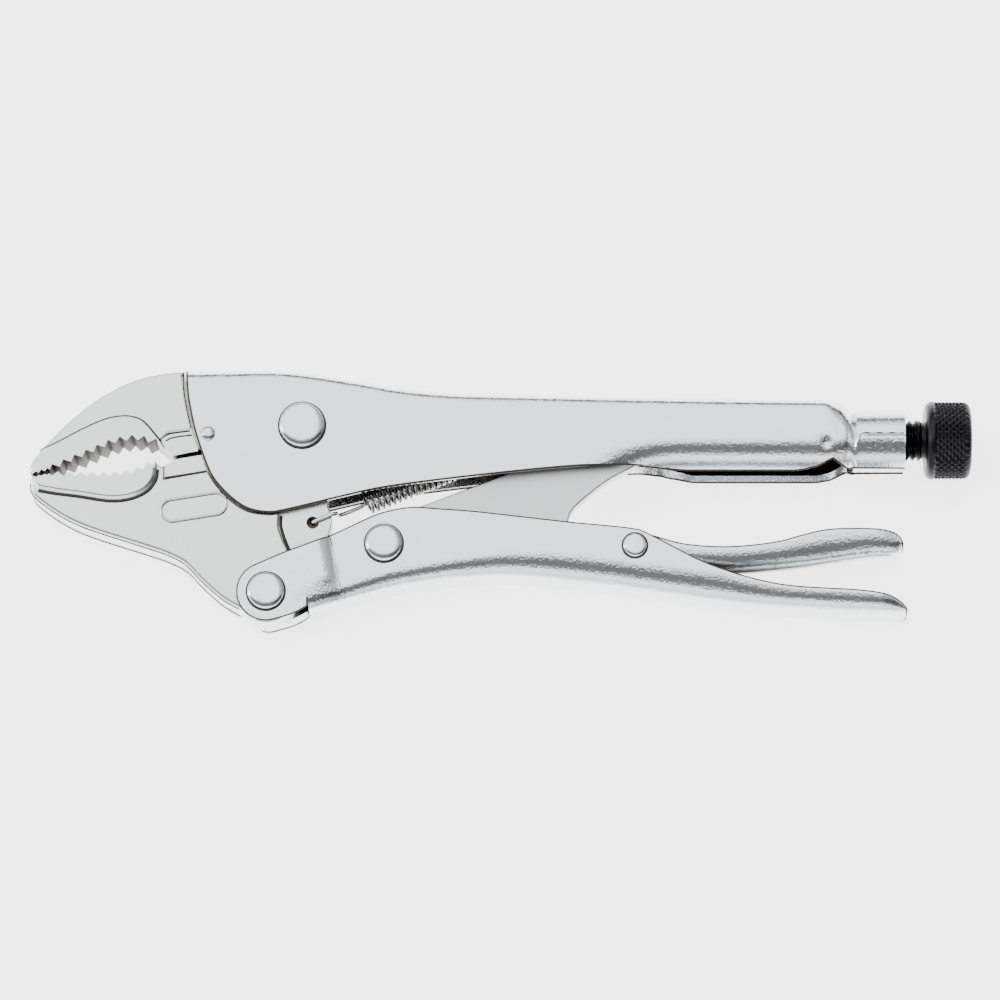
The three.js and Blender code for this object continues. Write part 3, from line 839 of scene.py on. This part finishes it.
@dataclass
class UpperJaw:
    """The fixed jaw: a forged blade with a raised toothed pad and half of the wire cutter."""

    roots: tuple[Pt, ...] = ((-107.3, 7.55), (-99.4, 11.0), (-93.0, 13.8), (-87.2, 14.7), (-82.6, 13.7))
    fine: tuple[Pt, ...] = (
        (-111.9, 5.15), (-111.1, 5.8), (-110.5, 5.4), (-109.8, 6.3), (-109.1, 5.75), (-108.4, 6.6), (-107.8, 6.1),
    )
    throat: tuple[Pt, ...] = ((-82.2, 13.0), (-78.5, 10.0))
    land_edge: tuple[Pt, ...] = ((-80.9, 14.6), (-79.3, 15.45), (-74.6, 16.1))
    pad_top: tuple[Pt, ...] = (
        (-110.2, 11.2), (-105.8, 13.4), (-101.0, 16.0), (-96.2, 18.3), (-92.9, 19.3), (-89.5, 19.6), (-86.6, 18.9),
        (-84.6, 17.3), (-81.4, 13.4),
    )

    def build(self) -> bpy.types.Object:
        """Make the jaw."""
        hidden = teeth(self.roots, 9, TOOTH_DEPTH, 0.12)[::-1]
        blade = (
            Outline()
            .line((-112.5, 5.6))
            .curve((-112.7, 7.6), (-110.2, 11.3), (-107.0, 14.9), (-103.4, 18.5), (-99.6, 21.8), (-95.3, 24.8))
            .curve((-90.5, 27.4), (-85.7, 29.2), (-80.9, 30.2), (-76.0, 30.6))
            .line((-76.2, 28.0), rim=0.5)
            .curve((-75.6, 23.3), (-74.1, 16.4), (-72.6, 11.3), rim=0.5)
            .line(self.throat[1], rim=0.5)
            .line((-82.15, 13.15), *hidden, *[(x, y + 0.12) for x, y in self.fine[::-1]], rim=0.1)
        )
        bite = teeth(self.roots, 9, TOOTH_DEPTH)[::-1]
        pad = (
            Outline()
            .line((-112.5, 5.6), rim=0.1)
            .line(self.pad_top[0], rim=0.3)
            .curve(*self.pad_top[1:], rim=0.3)
            .line((-80.2, 11.6), rim=0.3)
            .line(self.throat[0], *bite, *self.fine[::-1], rim=0.1)
        )
        tang = (
            Outline()
            .line((-77, 12.2), (-72.3, 11.7), *arc(JAW_PIVOT, 10.6, 206, 108, 16), (-52.0, 28.3), (-77, 28.3))
        )
        cutter = Outline().line((-78.3, 9.5), (-71.9, 10.65), (-71.9, 13.4), (-78.3, 12.4))
        body = Solid().slab(blade, BLADE_RIM).slab(pad, PAD_RIM).slab(tang, rounded(TANG, 0.3))
        body.slab(cutter, [(0, 0.05), (0.66, LAND_Z - 0.03)])
        land = Outline().line((-81.9, 13.9), (-79.9, 15.9), (-70.0, 17.2), (-70.0, 8.0), (-79.4, 8.0))
        recess = Solid().slab(land, [(0, 9.0), (0.01, 9.01)], below=[(0, LAND_Z + 0.35), (0.4, LAND_Z)])
        made = body.to_object("upper_jaw_forging", PLATED_FORGING, cuts=[recess])
        # Painted shade: dark lines at the foot of the pad's step and along the cutter land's edges.
        lower = [(x + 0.6, y - 1.0) for x, y in self.land_edge]
        lines = [level(self.pad_top, JAW + 0.05), level(self.land_edge, LAND_Z + 0.05), level(lower, LAND_Z)]
        crease(made, lines, 0.24, PAINTED_CREASE_SHADE)
        # The tooth walls are painted near-black.
        tint_bite(made, (-112.4, 4.5), (-82.3, 16.4))
        return made


@dataclass
class LowerJaw:
    """The moving jaw: toothed blade, wire cutter, pivot tang, lever lug and a blank raised panel."""

    roots: tuple[Pt, ...] = ((-83.2, 7.8), (-88, 5.6), (-93.5, 4.8), (-101, 4.9), (-107.3, 4.95))
    fine: tuple[Pt, ...] = (
        (-107.9, 5.6), (-108.5, 5.15), (-109.2, 5.4), (-109.8, 4.95), (-110.5, 5.1), (-111.1, 4.7), (-111.9, 4.9),
    )
    panel: tuple[float, float, float, float, float] = (-73.4, -2.6, 15.8, 5.3, 9.0)
    land_edge: tuple[Pt, ...] = ((-80.4, 4.6), (-76.0, 5.3), (-70.5, 6.2))
    pad_foot: tuple[Pt, ...] = (
        (-105.8, 0.6), (-101.0, 0.0), (-93.5, -1.1), (-88.5, -0.6), (-84.6, 1.2), (-82.5, 4.0), (-82.1, 6.6),
    )
    belly: tuple[Pt, ...] = (
        (-112.5, 3.2), (-111.6, 0.1), (-105.8, -4.3), (-98.9, -7.7), (-85.2, -12.2), (-79.7, -14.1), (-75.2, -16.5),
        (-71.3, -20.5), (-66.7, -24.6), (-62.4, -27.2),
    )
    step: tuple[Pt, ...] = ((-50.5, -13.0), (-51.8, -9.8), (-52.6, -6.9), (-52.5, -4.6))

    def bead(self) -> np.ndarray:
        """The centre line of the raised obround bead."""
        x, y, length, height, tilt = self.panel
        r, reach = height / 2, length / 2 - height / 2
        loop = [*arc((reach, 0), r, -90, 90, 14), *arc((-reach, 0), r, 90, 270, 14)]
        c, s = math.cos(math.radians(tilt)), math.sin(math.radians(tilt))
        return np.array([(x + a * c - b * s, y + a * s + b * c, JAW) for a, b in loop])

    def build(self) -> bpy.types.Object:
        """Make the jaw."""
        hidden = teeth(self.roots, 9, 1.1, 0.12)
        blade = (
            Outline()
            .line((-112.5, 4.4))
            .curve(*self.belly)
            .line(*arc(LEVER_PIVOT, 7.2, 215, 372, 40))
            .line((-50.9, -12.8), rim=0.6)
            .curve((-52.3, -9.8), (-53.1, -6.9), (-52.9, -4.3), rim=0.6)
            .line((-52.9, -4.0), rim=0.4)
            .curve((-55.4, -4.3), (-60.0, -3.7), (-63.8, -1.6), (-67.4, 2.0), (-70.0, 5.8), (-71.8, 9.7), rim=0.4)
            .line((-79.1, 8.5), (-81.3, 7.2), rim=0.5)
            .line((-82.5, 8.3), *hidden, *[(x, y - 0.12) for x, y in self.fine], rim=0.1)
        )
        bite = teeth(self.roots, 9, 1.1)
        pad = (
            Outline()
            .line((-112.3, 4.5), rim=0.1)
            .line((-111.2, 1.6))
            .curve(*self.pad_foot)
            .line((-82.2, 7.4), rim=0.4)
            .line((-82.6, 8.5), *bite, *self.fine, rim=0.1)
        )
        tang = (
            Outline()
            .line((-73.0, 7.5), (-71.7, 9.9), (-60.0, 10.9), *arc(JAW_PIVOT, 9.9, 214, 0, 36), (-38.9, 8))
            .curve((-41.4, -1.0), (-40.6, -4.2), (-40.4, -6.2), (-41.1, -9.3))
            .line((-50, -21), (-60, -16))
        )
        cutter = Outline().line((-78.9, 9.15), (-71.7, 10.4), (-70.6, 8.0), (-78.6, 6.4))
        body = Solid().slab(blade, BLADE_RIM).slab(pad, PAD_RIM).slab(tang, rounded(TANG, 0.3))
        body.slab(cutter, [(0, 0.05), (0.15, LAND_Z - 0.03)]).tube(self.bead(), 0.33, ring=True)
        land = Outline().line((-80.9, 8.3), (-80.9, 3.9), (-68.0, 6.2), (-68.0, 13.0), (-79.6, 11.2))
        recess = Solid().slab(land, [(0, 9.0), (0.01, 9.01)], below=[(0, LAND_Z + 0.35), (0.4, LAND_Z)])
        eye = Outline().line(*arc(SPRING_HOLE, 1.5, 0, 360, 32)[:-1])
        hole = Solid().slab(eye, [(0, 12.0), (0.01, 12.01)], below=[(0, -2.0), (0.01, -2.01)])
        made = body.to_object("lower_jaw_forging", PLATED_FORGING, cuts=[recess, hole])
        # Painted shade: dark lines at the foot of the pad and of the tang's step, along the cutter land, and along the
        # belly on both faces.
        foot = [(-110.6, 1.3), *((x, y - 0.1) for x, y in self.pad_foot)]
        crease(made, [level(foot, JAW + 0.1), level(self.step, TANG + 0.1)], 0.42, PAINTED_CREASE_SHADE)
        crease(made, [level(self.land_edge, LAND_Z + 0.1)], 0.32, PAINTED_CREASE_SHADE)
        crease(made, [level(self.belly, JAW - 0.75), level(self.belly, 0.9 - JAW)], 0.22, PAINTED_RIM_SHADE)
        # Painted shadow: a dark line set just below the raised bead.
        loop = self.bead()
        crease(made, [np.vstack([loop, loop[:1]]) + [0.1, -0.25, 0.12]], 0.2, PAINTED_CREASE_SHADE)
        # The tooth walls are painted near-black.
        tint_bite(made, (-112.4, 3.0), (-82.3, 9.0))
        return made


# ---- toggle link --------------------------------------------------------------------------------
@dataclass
class ToggleLink:
    """The blanked plate that locks the lever over centre against the screw."""

    def build(self) -> bpy.types.Object:
        """Make the link."""
        side = (
            Outline()
            .line(*arc(LINK_PIVOT, 6.2, 106, 290, 30))
            .curve((-16.0, -17.0), (-3.0, -17.0), (8.0, -15.8), (14.5, -13.4))
            .line((16.4, -10.8))
            .curve((16.0, -6.0), (17.4, -2.4), (22.1, 1.8), (26.5, 5.0), (32.4, 8.2), (34.2, 10.6))
            .line(*arc((31.3, 14.8), 3.3, -12, 100, 14))
            .line((-2.9, 4.4))
        )
        made = Solid().slab(side, rounded(LINK, 0.35)).to_object("toggle_link_plate", LINK_STEEL)
        # The rounded rims are painted a darker brown-grey.
        tint_rims(made, DARK_LINK_RIM)
        return made


# ---- rivets -------------------------------------------------------------------------------------
@dataclass
class Rivet:
    """A solid rivet: domed head on the near side, flat peened head on the far side."""

    name: str
    body: str
    node: str
    at: Pt
    shank: float
    head: float
    grip: float
    dome: float

    def build(self) -> bpy.types.Object:
        """Make the rivet."""
        top = self.grip + 0.02
        lip = 0.35
        rise = self.dome + 0.15 - lip
        turn = np.radians(np.arange(0, 90, 6))
        crown = [(self.head * math.cos(a) ** 0.5, top + lip + rise * math.sin(a) ** 0.5) for a in turn]
        profile = [
            (0, -top - 1.6),
            (self.head * 0.72, -top - 1.6),
            (self.head * 0.9, -top - 1.4),
            (self.head - 0.05, -top - 0.9),
            (self.head, -top),
            (self.shank, -top),
            (self.shank, top),
            (self.head - 0.12, top),
            (self.head, top + 0.12),
            *crown,
            (0, top + self.dome + 0.15),
        ]
        x, y = self.at
        made = Solid().lathe(profile, lambda p: p + [x, y, 0]).to_object(self.name, POLISHED_RIVET)
        # Painted shade: a dark ring round the head where it meets the plate.
        crease(made, [level(arc(self.at, self.head + 0.12, 0, 360, 48), top + 0.25)], 0.3, PAINTED_CREASE_SHADE)
        return made


@dataclass
class JawPin:
    """The pin that locks the upper jaw's tang, ground nearly flush with the plates."""

    radius: float = 1.75

    def build(self) -> bpy.types.Object:
        """Make the pin."""
        end, r = PLATE, self.radius
        cap = [(r, end + 0.1), (r - 0.08, end + 0.25), (r - 0.35, end + 0.48), (r * 0.5, end + 0.66), (0.4, end + 0.72)]
        profile = [(0, -end - 0.2), (r - 0.3, -end - 0.2), (r, -end + 0.1), *cap, (0, end + 0.73)]
        solid = Solid().lathe(profile, lambda p: p + [*UPPER_PIN, 0], sides=64)
        return solid.to_object("upper_jaw_pin_steel", POLISHED_RIVET)


# ---- screw --------------------------------------------------------------------------------------
class Tree:
    """A Geometry Nodes tree with named inputs, applied to one object and baked."""

    def __init__(self, name: str, inputs: dict[str, str]) -> None:
        """Args: name: the tree's name; inputs: socket name to socket type, after the geometry."""
        self.tree = bpy.data.node_groups.new(name, "GeometryNodeTree")
        self.nodes = Nodes(self.tree)
        self.tree.interface.new_socket("Geometry", in_out="INPUT", socket_type="NodeSocketGeometry")
        self.tree.interface.new_socket("Geometry", in_out="OUTPUT", socket_type="NodeSocketGeometry")
        self.keys = {}
        for title, kind in inputs.items():
            self.keys[title] = self.tree.interface.new_socket(title, in_out="INPUT", socket_type=kind).identifier
        self.given = self.nodes.add("NodeGroupInput").outputs

    def close(self, geometry: bpy.types.NodeSocket) -> None:
        """End the tree in Realize Instances and Set Material."""
        real = self.nodes.add("GeometryNodeRealizeInstances", {"Geometry": geometry}).outputs[0]
        dressed = self.nodes.add("GeometryNodeSetMaterial", {"Geometry": real, "Material": self.given["Finish"]})
        self.nodes.add("NodeGroupOutput", {"Geometry": dressed.outputs[0]})

    def apply(self, obj: bpy.types.Object, values: dict[str, object]) -> None:
        """Run the tree on an object with these inputs and keep the result as its mesh."""
        modifier = obj.modifiers.new(self.tree.name, "NODES")
        modifier.node_group = self.tree
        for title, value in values.items():
            modifier[self.keys[title]] = value
        bake(obj)


class Relief(Enum):
    """The two reliefs cut into turned steel."""

    THREAD = "thread"
    DIAMOND_KNURL = "diamond_knurl"


def relief_tree() -> Tree:
    """A helical relief pressed into a turned surface, from its around, along and mask attributes."""
    names = {"Starts": "Float", "Pitch": "Float", "Depth": "Float", "Crossed": "Float", "Axis": "Vector", "Finish": "Material"}
    tree = Tree("helical_relief", {title: f"NodeSocket{kind}" for title, kind in names.items()})
    add, calc, given = tree.nodes.add, tree.nodes.math, tree.given
    around, along_, mask = (
        add("GeometryNodeInputNamedAttribute", {"Name": n}, data_type="FLOAT").outputs[0] for n in ("around", "along", "mask")
    )
    turns = calc("MULTIPLY", around, given["Starts"])
    rise = calc("DIVIDE", along_, given["Pitch"])
    one = calc("PINGPONG", calc("ADD", turns, rise), 0.5)
    two = calc("PINGPONG", calc("SUBTRACT", turns, rise), 0.5)
    both = calc("MINIMUM", one, calc("MAXIMUM", two, calc("SUBTRACT", 0.5, given["Crossed"])))
    fall = calc("MULTIPLY", calc("MULTIPLY_ADD", both, 2.0, -1.0), calc("MULTIPLY", given["Depth"], mask))
    place = add("GeometryNodeInputPosition").outputs[0]
    arm = add("ShaderNodeVectorMath", {0: place, 1: given["Axis"]}, operation="SUBTRACT").outputs[0]
    flat = add("ShaderNodeVectorMath", {0: arm, 1: (0.0, 1.0, 1.0)}, operation="MULTIPLY").outputs[0]
    radial = add("ShaderNodeVectorMath", {0: flat}, operation="NORMALIZE").outputs[0]
    move = add("ShaderNodeVectorMath", {0: radial, "Scale": fall}, operation="SCALE").outputs[0]
    tree.close(add("GeometryNodeSetPosition", {"Geometry": given["Geometry"], "Offset": move}).outputs[0])
    return tree


@dataclass
class Screw:
    """The adjusting screw: a threaded shank and a diamond-knurled head."""

    tip: float = 37.3
    thread: tuple[float, float] = (62.0, 100.6)
    neck: float = 4.4
    head: tuple[float, float] = (101.8, 112.7)
    head_radius: float = 9.4
    corner: float = 1.8
    knurl_pitch: float = 1.7
    thread_radius: float = 5.0

    def turned(self, name: str, profile: Sequence[tuple[float, float, float]], sides: int) -> bpy.types.Object:
        """A turned solid about the screw axis whose points carry around, along and mask.

        Args:
            name: the object's name.
            profile: (radius, x, mask) along the surface.
            sides: points round the circle.
        """
        body = Solid().lathe([(r, x) for r, x, _ in profile], lambda p: np.column_stack([p[:, 2], p[:, 0] + SCREW_Y, p[:, 1]]), sides)
        made = body.raw(name, BLACK_OXIDE)
        inner = profile[1:-1]
        around = [*np.tile(np.arange(sides) / sides, len(inner)), 0.0, 0.0]
        run = [*np.repeat([x * MM for _, x, _ in inner], sides), 0.0, 0.0]
        mask = [*np.repeat([m for _, _, m in inner], sides), 0.0, 0.0]
        for title, values in (("around", around), ("along", run), ("mask", mask)):
            made.data.attributes.new(title, "FLOAT", "POINT").data.foreach_set("value", values)
        return made

    def build(self) -> list[bpy.types.Object]:
        """Make the shank and the head."""
        tree = relief_tree()
        axis = (0.0, (SCREW_Y + SHIFT_Y) * MM, LIFT * MM)
        shared = {"Axis": axis, "Finish": BLACK_OXIDE.material()}
        a, b = self.thread
        r = SCREW_R
        crest = self.thread_radius
        run = [(crest, x, float(np.clip(min(x - a, b - x) / 1.0, 0, 1))) for x in np.arange(a, b, SCREW_PITCH / 8)]
        h0, h1 = self.head
        shank = [
            (0, self.tip, 0), (3.2, self.tip, 0), (r, self.tip + 1.4, 0), (r, a - 0.5, 0), *run,
            (self.neck, b + 0.3, 0), (self.neck, h0 - 0.3, 0), (self.neck + 0.3, h0 + 0.2, 0), (0, h0 + 0.5, 0),
        ]
        screw = self.turned("adjusting_screw_thread", shank, 72)
        thread = {"Starts": 1.0, "Pitch": SCREW_PITCH * MM, "Depth": 0.00095, "Crossed": 0.0}
        tree.apply(screw, {**thread, **shared})
        c, wide = self.corner, self.head_radius
        turn = np.linspace(0, math.pi / 2, 6)
        left = [(wide - c + c * math.sin(t), h0 + c - c * math.cos(t), 0) for t in turn[:-1]]
        side = [(wide, float(x), float(np.clip((x - h0 - c) / 0.6, 0, 1))) for x in np.arange(h0 + c, h1 - c, 0.17)]
        right = [(wide - c + c * math.cos(t), h1 - c + c * math.sin(t), 1 - 0.8 * t) for t in turn]
        dish = [(6.4, h1, 0), (6.0, h1 - 0.35, 0), (0, h1 - 0.4, 0)]
        head = self.turned("screw_head_knurled", [(0, h0, 0), (4.5, h0, 0), *left, *side, *right, *dish], 336)
        starts = round(2 * math.pi * wide / self.knurl_pitch)
        knurl = {"Starts": float(starts), "Pitch": self.knurl_pitch * MM, "Depth": 0.00052, "Crossed": 1.0}
        tree.apply(head, {**knurl, **shared})
        for made in (screw, head):
            made.data.shade_smooth()
            made.data.set_sharp_from_angle(angle=math.radians(30))
        return [screw, head]


# ---- spring -------------------------------------------------------------------------------------
@dataclass
class Spring:
    """The extension spring between the lower jaw's tang and the tab in the fixed handle."""

    turns: float = 16.0
    radius: float = 2.1
    wire: float = 0.4
    first: float = 13.6
    last: float = 8.5

    def build(self) -> bpy.types.Object:
        """Make the hooks as wire and let the coil tree add the coil between them."""
        start = np.array([*SPRING_HOLE, 0.0])
        run = np.array([*SPRING_TAB, 0.0]) - start
        length = float(np.linalg.norm(run))
        ahead = run / length

        def wire(*points: Pt) -> np.ndarray:
            flat = spline(points, 0.35)
            return np.array([start + ahead * s + [0, 0, z] for s, z in flat])

        end = length - self.last
        hook = wire((0.1, 2.6), (0.1, 4.7), (0.8, 5.35), (3.0, 5.45), (5.2, 5.35), (6.1, 4.4), (6.2, 1.6), (7.2, 0.4), (10.5, 0.1), (12.7, 0.7), (self.first, self.radius))
        tail = wire((end, self.radius), (end + 1.2, 1.0), (end + 3.0, 0.3), (length - 1.4, 0.2))
        made = Solid().tube(hook, self.wire + 0.1).tube(tail, self.wire).raw("extension_spring", SPRING_STEEL)
        names = {"Turns": "Float", "Radius": "Float", "Length": "Float", "Wire": "Float", "Start": "Vector", "Finish": "Material"}
        tree = Tree("coil", {title: f"NodeSocket{kind}" for title, kind in names.items()})
        add, given = tree.nodes.add, tree.given
        shape = {"Resolution": 20, "Rotations": given["Turns"], "Start Radius": given["Radius"], "End Radius": given["Radius"], "Height": given["Length"]}
        spiral = add("GeometryNodeCurveSpiral", shape).outputs[0]
        across = Vector(ahead).cross(Vector((0, 0, 1)))
        turn = Matrix((Vector((0, 0, 1)), across, Vector(ahead))).transposed().to_euler()
        placed = add("GeometryNodeTransform", {"Geometry": spiral, "Translation": given["Start"], "Rotation": turn})
        circle = add("GeometryNodeCurvePrimitiveCircle", {"Resolution": 12, "Radius": given["Wire"]}).outputs[0]
        tube = add("GeometryNodeCurveToMesh", {"Curve": placed.outputs[0], "Profile Curve": circle, "Fill Caps": True})
        joined = add("GeometryNodeJoinGeometry", {"Geometry": tube.outputs[0]})
        tree.tree.links.new(given["Geometry"], joined.inputs[0])
        tree.close(joined.outputs[0])
        at = start + ahead * self.first + [0, SHIFT_Y, LIFT]
        sizes = {"Turns": self.turns, "Radius": self.radius * MM, "Length": (end - self.first) * MM, "Wire": self.wire * MM}
        tree.apply(made, {**sizes, "Start": tuple(at * MM), "Finish": SPRING_STEEL.material()})
        made.data.shade_smooth()
        made.data.set_sharp_from_angle(angle=math.radians(50))
        return made


# ---- studio -------------------------------------------------------------------------------------
@dataclass
class Studio:
    """White table, a bright overhead dome with a darker band above the horizon, and one side softbox."""

    elevation: float = 79.0
    distance_mm: float = 1333.3
    target: tuple[float, float, float] = (-0.24, 0.1, 10.35)
    dome: float = 2.5
    table_glow: float = 3.2

    def camera(self) -> None:
        """Add the camera."""
        data = bpy.data.cameras.new("camera")
        data.lens, data.sensor_width = 200.0, 36.0
        data.clip_start, data.clip_end = 0.05, 20.0
        made = bpy.data.objects.new("camera", data)
        e = math.radians(self.elevation)
        aim = Vector(self.target) * MM
        made.location = aim + Vector((0, -math.cos(e), math.sin(e))) * self.distance_mm * MM
        made.rotation_euler = (aim - made.location).to_track_quat("-Z", "Y").to_euler()
        bpy.context.scene.collection.objects.link(made)
        bpy.context.scene.camera = made

    def softbox(self, name: str, place: tuple[float, float, float], size: tuple[float, float], watts: float) -> None:
        """Add an area light aimed at the tool, with its place and size in metres."""
        data = bpy.data.lights.new(name, "AREA")
        data.shape, data.size, data.size_y, data.energy = "RECTANGLE", *size, watts
        made = bpy.data.objects.new(name, data)
        made.location = place
        made.rotation_euler = (-Vector(place)).to_track_quat("-Z", "Y").to_euler()
        bpy.context.scene.collection.objects.link(made)

    def world(self) -> None:
        """Light dome: a bright panel overhead, dark card beside it, and a pale panel low in front of the tool."""
        world = bpy.data.worlds.new("studio")
        world.use_nodes = True
        bpy.context.scene.world = world
        nodes = Nodes(world.node_tree)
        direction = nodes.add("ShaderNodeTexCoord").outputs["Generated"]
        x, y, z = nodes.add("ShaderNodeSeparateXYZ", {0: direction}).outputs
        lean = nodes.math("MULTIPLY_ADD", nodes.math("ARCTAN2", y, z), 1 / math.pi, 0.5)
        front_to_back = [
            (-90, 0.45), (-84, 0.5), (-80, 1.0), (-75, 0.4), (-70, 1.05), (-56, 1.05), (-47, 0.09), (-10, 0.09), (-2, 1.0), (56, 0.95), (70, 0.06),
            (90, 0.1),
        ]
        side_to_side = [(0.0, 0.8), (0.28, 1.0), (0.6, 1.0), (0.7, 0.36), (0.85, 0.25), (1.0, 0.12)]
        panels = self.ramp(nodes, lean, [(a / 180 + 0.5, level) for a, level in front_to_back])
        sides = self.ramp(nodes, nodes.math("MULTIPLY_ADD", x, 0.5, 0.5), side_to_side)
        light = nodes.math("MULTIPLY", panels, sides)
        back = nodes.add("ShaderNodeBackground", {"Color": light, "Strength": self.dome})
        nodes.add("ShaderNodeOutputWorld", {"Surface": back.outputs[0]})

    @staticmethod
    def ramp(nodes: Nodes, factor: bpy.types.NodeSocket, stops: Sequence[Pt]) -> bpy.types.NodeSocket:
        """A brightness ramp through (place, level) stops."""
        node = nodes.add("ShaderNodeValToRGB", {"Fac": factor})
        band = node.color_ramp
        while len(band.elements) < len(stops):
            band.elements.new(0.5)
        for element, (place, level) in zip(band.elements, stops, strict=True):
            element.position, element.color = place, (level, level, level, 1.0)
        return node.outputs[0]

    def floor(self) -> None:
        """Add the table, at z = 0."""
        paper = bpy.data.materials.new("white_table")
        paper.use_nodes = True
        nodes = Nodes(paper.node_tree)
        shader = nodes.add("ShaderNodeBsdfPrincipled", {"Base Color": (0.92, 0.92, 0.92, 1.0), "Roughness": 0.9, "Emission Color": (1.0, 1.0, 1.0, 1.0), "Emission Strength": self.table_glow})
        nodes.add("ShaderNodeOutputMaterial", {"Surface": shader.outputs[0]})
        mesh = bpy.data.meshes.new("table_top")
        mesh.from_pydata([(-3, -3, 0), (3, -3, 0), (3, 3, 0), (-3, 3, 0)], [], [(0, 1, 2, 3)])
        mesh.materials.append(paper)
        made = bpy.data.objects.new("table_top", mesh)
        bpy.context.scene.collection.objects.link(made)

    def build(self) -> None:
        """Set up the whole studio."""
        self.camera()
        self.world()
        self.softbox("softbox_left", (-1.5, 0.0, 0.75), (0.4, 0.9), 8.0)
        self.floor()


# ---- assembly -----------------------------------------------------------------------------------
RIVETS = (
    Rivet("jaw_pivot_rivet_head", "handle", "jaw_pivot_rivet", JAW_PIVOT, 3.4, 5.4, PLATE, 1.9),
    Rivet("lever_pivot_rivet_head", "lever", "lever_pivot_rivet", LEVER_PIVOT, 2.8, 4.4, FORK, 1.7),
    Rivet("link_rivet_head", "lever", "link_rivet", LINK_PIVOT, 2.4, 4.4, PLATE, 1.9),
    Rivet("release_rivet_head", "lever", "release_rivet", RELEASE_PIVOT, 1.7, 2.8, PLATE, 1.1),
)


def mount(obj: bpy.types.Object, body: str, finish: Finish, *nodes: str) -> None:
    """Put a finished piece on its body in place of its CAD nodes and log it."""
    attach(obj, body)
    if nodes:
        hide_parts(*nodes)
    LOG.info("%s: %d faces on %s", obj.name, len(obj.data.polygons), body)


def main() -> None:
    """Build every piece around the frame."""
    logging.basicConfig(level=logging.INFO, format="%(name)s: %(message)s")
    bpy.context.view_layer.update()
    mount(FixedHandle().build(), "handle", PLATED_SHEET, "fixed_handle")
    mount(UpperJaw().build(), "handle", PLATED_FORGING, "upper_jaw")
    mount(JawPin().build(), "handle", POLISHED_RIVET, "upper_jaw_pin")
    mount(LowerJaw().build(), "jaw", PLATED_FORGING, "lower_jaw")
    mount(LeverHandle().build(), "lever", PLATED_SHEET, "lever_handle")
    mount(ToggleLink().build(), "link", LINK_STEEL, "toggle_link")
    mount(ReleaseLever().build(), "release", PLATED_SHEET, "release_lever")
    for rivet in RIVETS:
        mount(rivet.build(), rivet.body, POLISHED_RIVET, rivet.node)
    screw, head = Screw().build()
    mount(screw, "knob", BLACK_OXIDE, "adjusting_screw")
    mount(head, "knob", BLACK_OXIDE, "screw_knob")
    spring = Spring().build()
    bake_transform(spring)
    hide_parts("spring")
    Studio().build()


if __name__ == "__main__":
    main()
